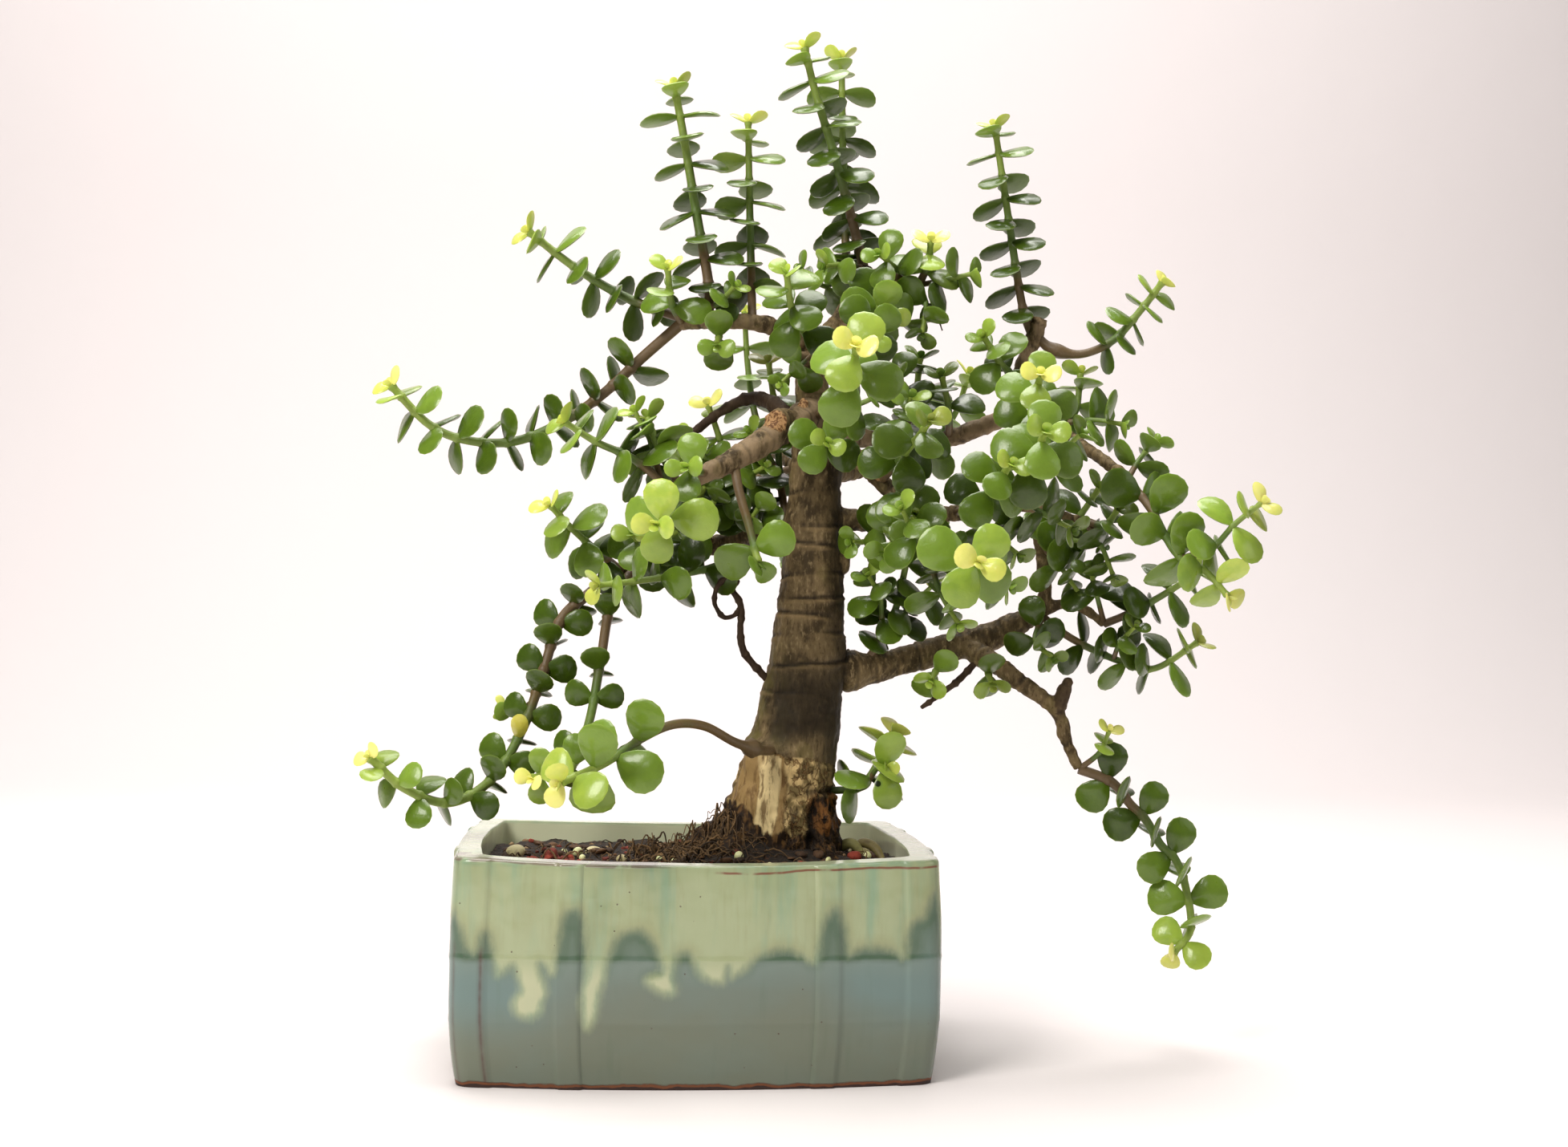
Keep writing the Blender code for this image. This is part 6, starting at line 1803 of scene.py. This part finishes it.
    def leaf(self, frame: Frame, age: float, yellowed: bool, rng: random.Random) -> Object:
        """One leaf in its place, a little different from the others."""
        leaf = self.master.copy()
        leaf.data = self.master.data.copy()
        bpy.context.collection.objects.link(leaf)
        sphere = self.sphere.copy()
        flat = np.hypot(sphere[:, 0], sphere[:, 1])
        plump = np.where((flat > 0.5) & (flat < 0.95), 1.24, 1.0)
        sphere[:, :2] *= plump[:, None]
        shape = self.blade(sphere, FINE_LEAF, 0.06, rng.uniform(0.02, 0.10))
        cup = rng.uniform(-0.05, 0.22)
        shape[:, 2] += cup * shape[:, 1] ** 2 * np.where(flat > 0, 1, 0) - 0.02 * cup
        shape[:, 1] *= rng.uniform(0.94, 1.04) * (0.62 if yellowed else 1.0)
        shape[:, 2] += 0.10 * rng.uniform(-1, 1) * shape[:, 0] * shape[:, 1]
        move_points(leaf, frame.put(shape))
        # The painted shade is stored with the leaf's other looks
        looks = {"age": age, "tint": rng.random(), "gloom": self.gloom(frame), "yellowed": yellowed}
        for name, value in looks.items():
            give_values(leaf, name, value)
        return leaf

    def sprout(self, shoot: Shoot) -> list[Object]:
        """One shoot's stem and leaves.

        Args:
            shoot: The shoot.

        Returns:
            The stem and then each leaf.
        """
        rng = random.Random(shoot.name + " looks")
        line = curve_through(self.route_of(shoot), 0.8)
        along = np.arange(len(line)) * 0.8
        radii = np.linspace(1.15, 0.8, len(line)) * shoot.radius
        heel_at, heel = shoot.heel
        radii += heel * bell(along - heel_at, 4.5)
        for _, at, _ in self.leaves[shoot.name]:
            radii += 0.11 * shoot.radius * bell(along - at, 0.9)
        stem = tube(f"stem_{shoot.name}", line, radii, 8)
        stem.data.materials.append(self.stem_material)
        tree = tree_of(line)
        share = np.array([tree.find(point)[1] for point in points_of(stem)]) / (len(line) - 1)
        age = np.clip(0.75 * (1 - share) + smooth_step(share, shoot.woody + 0.12, shoot.woody - 0.12) * 0.5, 0, 1)
        give_values(stem, "age", age)
        parts = [stem]
        for number, (order, _, frame) in enumerate(self.leaves[shoot.name]):
            age = shoot.tip + (1 - shoot.tip) * (1 - math.exp(-0.45 * (order + 0.15) / shoot.young))
            yellowed = (shoot.name, order, number % 2) in self.yellowed
            parts.append(self.leaf(frame, age, yellowed, rng))
        tangents, sides, fronts = self.stem_frames(line)
        turn = math.radians(shoot.phase + 90)
        for half in (1, -1):
            out = half * (sides[-1] * math.cos(turn) + fronts[-1] * math.sin(turn))
            bud = unit(tangents[-1] * 0.9 + out * 0.45)
            facing = unit(tangents[-1] - out * 1.6 - ((tangents[-1] - out * 1.6) @ bud) * bud)
            parts.append(self.leaf(Frame(line[-1], bud, facing, 0.24 * shoot.leaf), shoot.tip, False, rng))
        return parts


# Studio


@dataclass(frozen=True)
class Lamp:
    """A soft box: where it stands, what it points at, its sides, its power and its linear colour."""

    name: str
    place: Triple
    target: Triple
    size: tuple[float, float]
    power: float
    colour: Triple = (1.0, 1.0, 1.0)

    def build(self) -> None:
        """Adds the lamp."""
        bpy.ops.object.light_add(type="AREA", location=self.place)
        lamp = bpy.context.object
        lamp.name = self.name
        lamp.rotation_euler = (Vector(self.target) - Vector(self.place)).to_track_quat("-Z", "Y").to_euler()
        lamp.data.shape = "RECTANGLE"
        lamp.data.size, lamp.data.size_y = self.size
        lamp.data.energy = self.power
        lamp.data.color = self.colour


@dataclass
class Studio:
    """A pale sweep of cloth, soft lamps and the photo's camera.

    Sizes here are metres, and the world's colour is linear.
    """

    floor_colour: Colour = (0.925, 0.90, 0.90)
    world_colour: Triple = (0.11, 0.107, 0.10)
    wall_at: float = 1.9
    wall_height: float = 3.0
    bend: float = 0.8
    focal: float = 36.0 * 2460.0 / 1955.0
    eye: Triple = (-0.030, -0.798, 0.1665)
    yaw: float = math.radians(-4.7)
    pitch: float = math.radians(1.65)
    roll: float = math.radians(0.8)
    lamps: tuple[Lamp, ...] = (
        Lamp("key_lamp", (-0.95, -1.05, 1.25), (0.02, 0.0, 0.2), (0.7, 0.7), 24.0, (1.0, 0.96, 0.91)),
        Lamp("front_lamp", (-0.3, -1.5, 0.8), (0.03, 0.0, 0.2), (0.28, 0.28), 1.3, (1.0, 0.98, 0.95)),
        Lamp("fill_lamp", (1.5, -0.7, 0.9), (0.05, 0.0, 0.15), (1.0, 1.0), 4.0, (1.0, 0.98, 0.95)),
        Lamp("top_lamp", (0.0, 0.1, 1.5), (0.03, 0.0, 0.2), (0.9, 0.9), 21.0, (1.0, 0.98, 0.95)),
        Lamp("backdrop_lamp", (0.0, 1.0, 1.9), (0.0, 1.9, 0.4), (2.4, 0.6), 25.0, (1.0, 0.97, 0.95)),
    )

    def build(self) -> None:
        """Adds the sweep, lamps, world and camera."""
        self.sweep()
        for lamp in self.lamps:
            lamp.build()
        world = bpy.data.worlds.new("soft_room")
        world.use_nodes = True
        world.node_tree.nodes["Background"].inputs["Color"].default_value = (*self.world_colour, 1.0)
        bpy.context.scene.world = world
        bpy.context.scene.view_settings.view_transform = "Standard"
        self.camera()

    def sweep(self) -> None:
        """The cloth: a floor that curves up into a wall behind."""
        bpy.ops.mesh.primitive_plane_add(size=1.0, location=(0.0, -0.15, 0.0))
        cloth = bpy.context.object
        cloth.name = "pale_sweep"
        bpy.ops.transform.resize(value=(7.0, 4.3, 1.0), center_override=(0.0, -0.15, 0.0))
        bpy.ops.object.transform_apply(location=True, rotation=True, scale=True)
        select_only(cloth)
        for edge in cloth.data.edges:
            edge.select = all(cloth.data.vertices[i].co.y > self.wall_at for i in edge.vertices)
        for vertex in cloth.data.vertices:
            vertex.select = vertex.co.y > self.wall_at
        for face in cloth.data.polygons:
            face.select = False
        bpy.ops.object.mode_set(mode="EDIT")
        bpy.ops.mesh.extrude_region_move(TRANSFORM_OT_translate={"value": (0, 0, self.wall_height)})
        bpy.ops.mesh.select_all(action="DESELECT")
        bpy.ops.object.mode_set(mode="OBJECT")
        for edge in cloth.data.edges:
            ends = [cloth.data.vertices[i].co for i in edge.vertices]
            edge.select = all(end.y > self.wall_at and end.z < 0.1 for end in ends)
        bpy.ops.object.mode_set(mode="EDIT")
        bpy.ops.mesh.bevel(offset=self.bend, segments=16)
        bpy.ops.object.mode_set(mode="OBJECT")
        shade_by_angle(cloth, 60)
        graph = Graph("pale_cloth")
        weave = graph.bump(graph.grain(90.0, 2), 1.2)
        cloth.data.materials.append(graph.finish(Base_Color=self.floor_colour, Roughness=0.85, Normal=weave))

    def camera(self) -> None:
        """The camera that took the photo, as measured on the pot's edges."""
        cos_yaw, sin_yaw = math.cos(self.yaw), math.sin(self.yaw)
        cos_pitch, sin_pitch = math.cos(self.pitch), math.sin(self.pitch)
        level = Vector((cos_yaw, sin_yaw, 0.0))
        upright = Vector((sin_pitch * sin_yaw, -sin_pitch * cos_yaw, cos_pitch))
        forward = Vector((-cos_pitch * sin_yaw, cos_pitch * cos_yaw, sin_pitch))
        right = math.cos(self.roll) * level + math.sin(self.roll) * upright
        up = math.cos(self.roll) * upright - math.sin(self.roll) * level
        bpy.ops.object.camera_add(location=self.eye)
        camera = bpy.context.object
        camera.name = "photo_camera"
        camera.rotation_euler = Matrix((right, up, -forward)).transposed().to_euler()
        camera.data.lens = self.focal
        bpy.context.scene.camera = camera


DRAIN_SCREENS = ("drain_screen_1", "drain_screen_2")


def main() -> None:
    """Builds the whole picture in order."""
    logging.basicConfig(level=logging.INFO, format="%(message)s")
    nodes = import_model()["nodes"]
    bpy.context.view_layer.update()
    pot = Pot()
    pot.build()
    Soil(pot).build()
    Wood().build()
    Foliage(nodes).build()
    plastic = BLACK_PLASTIC.material()
    for name in DRAIN_SCREENS:
        for held in nodes[name].material_slots:
            held.material = plastic
    Studio().build()


if __name__ == "__main__":
    main()
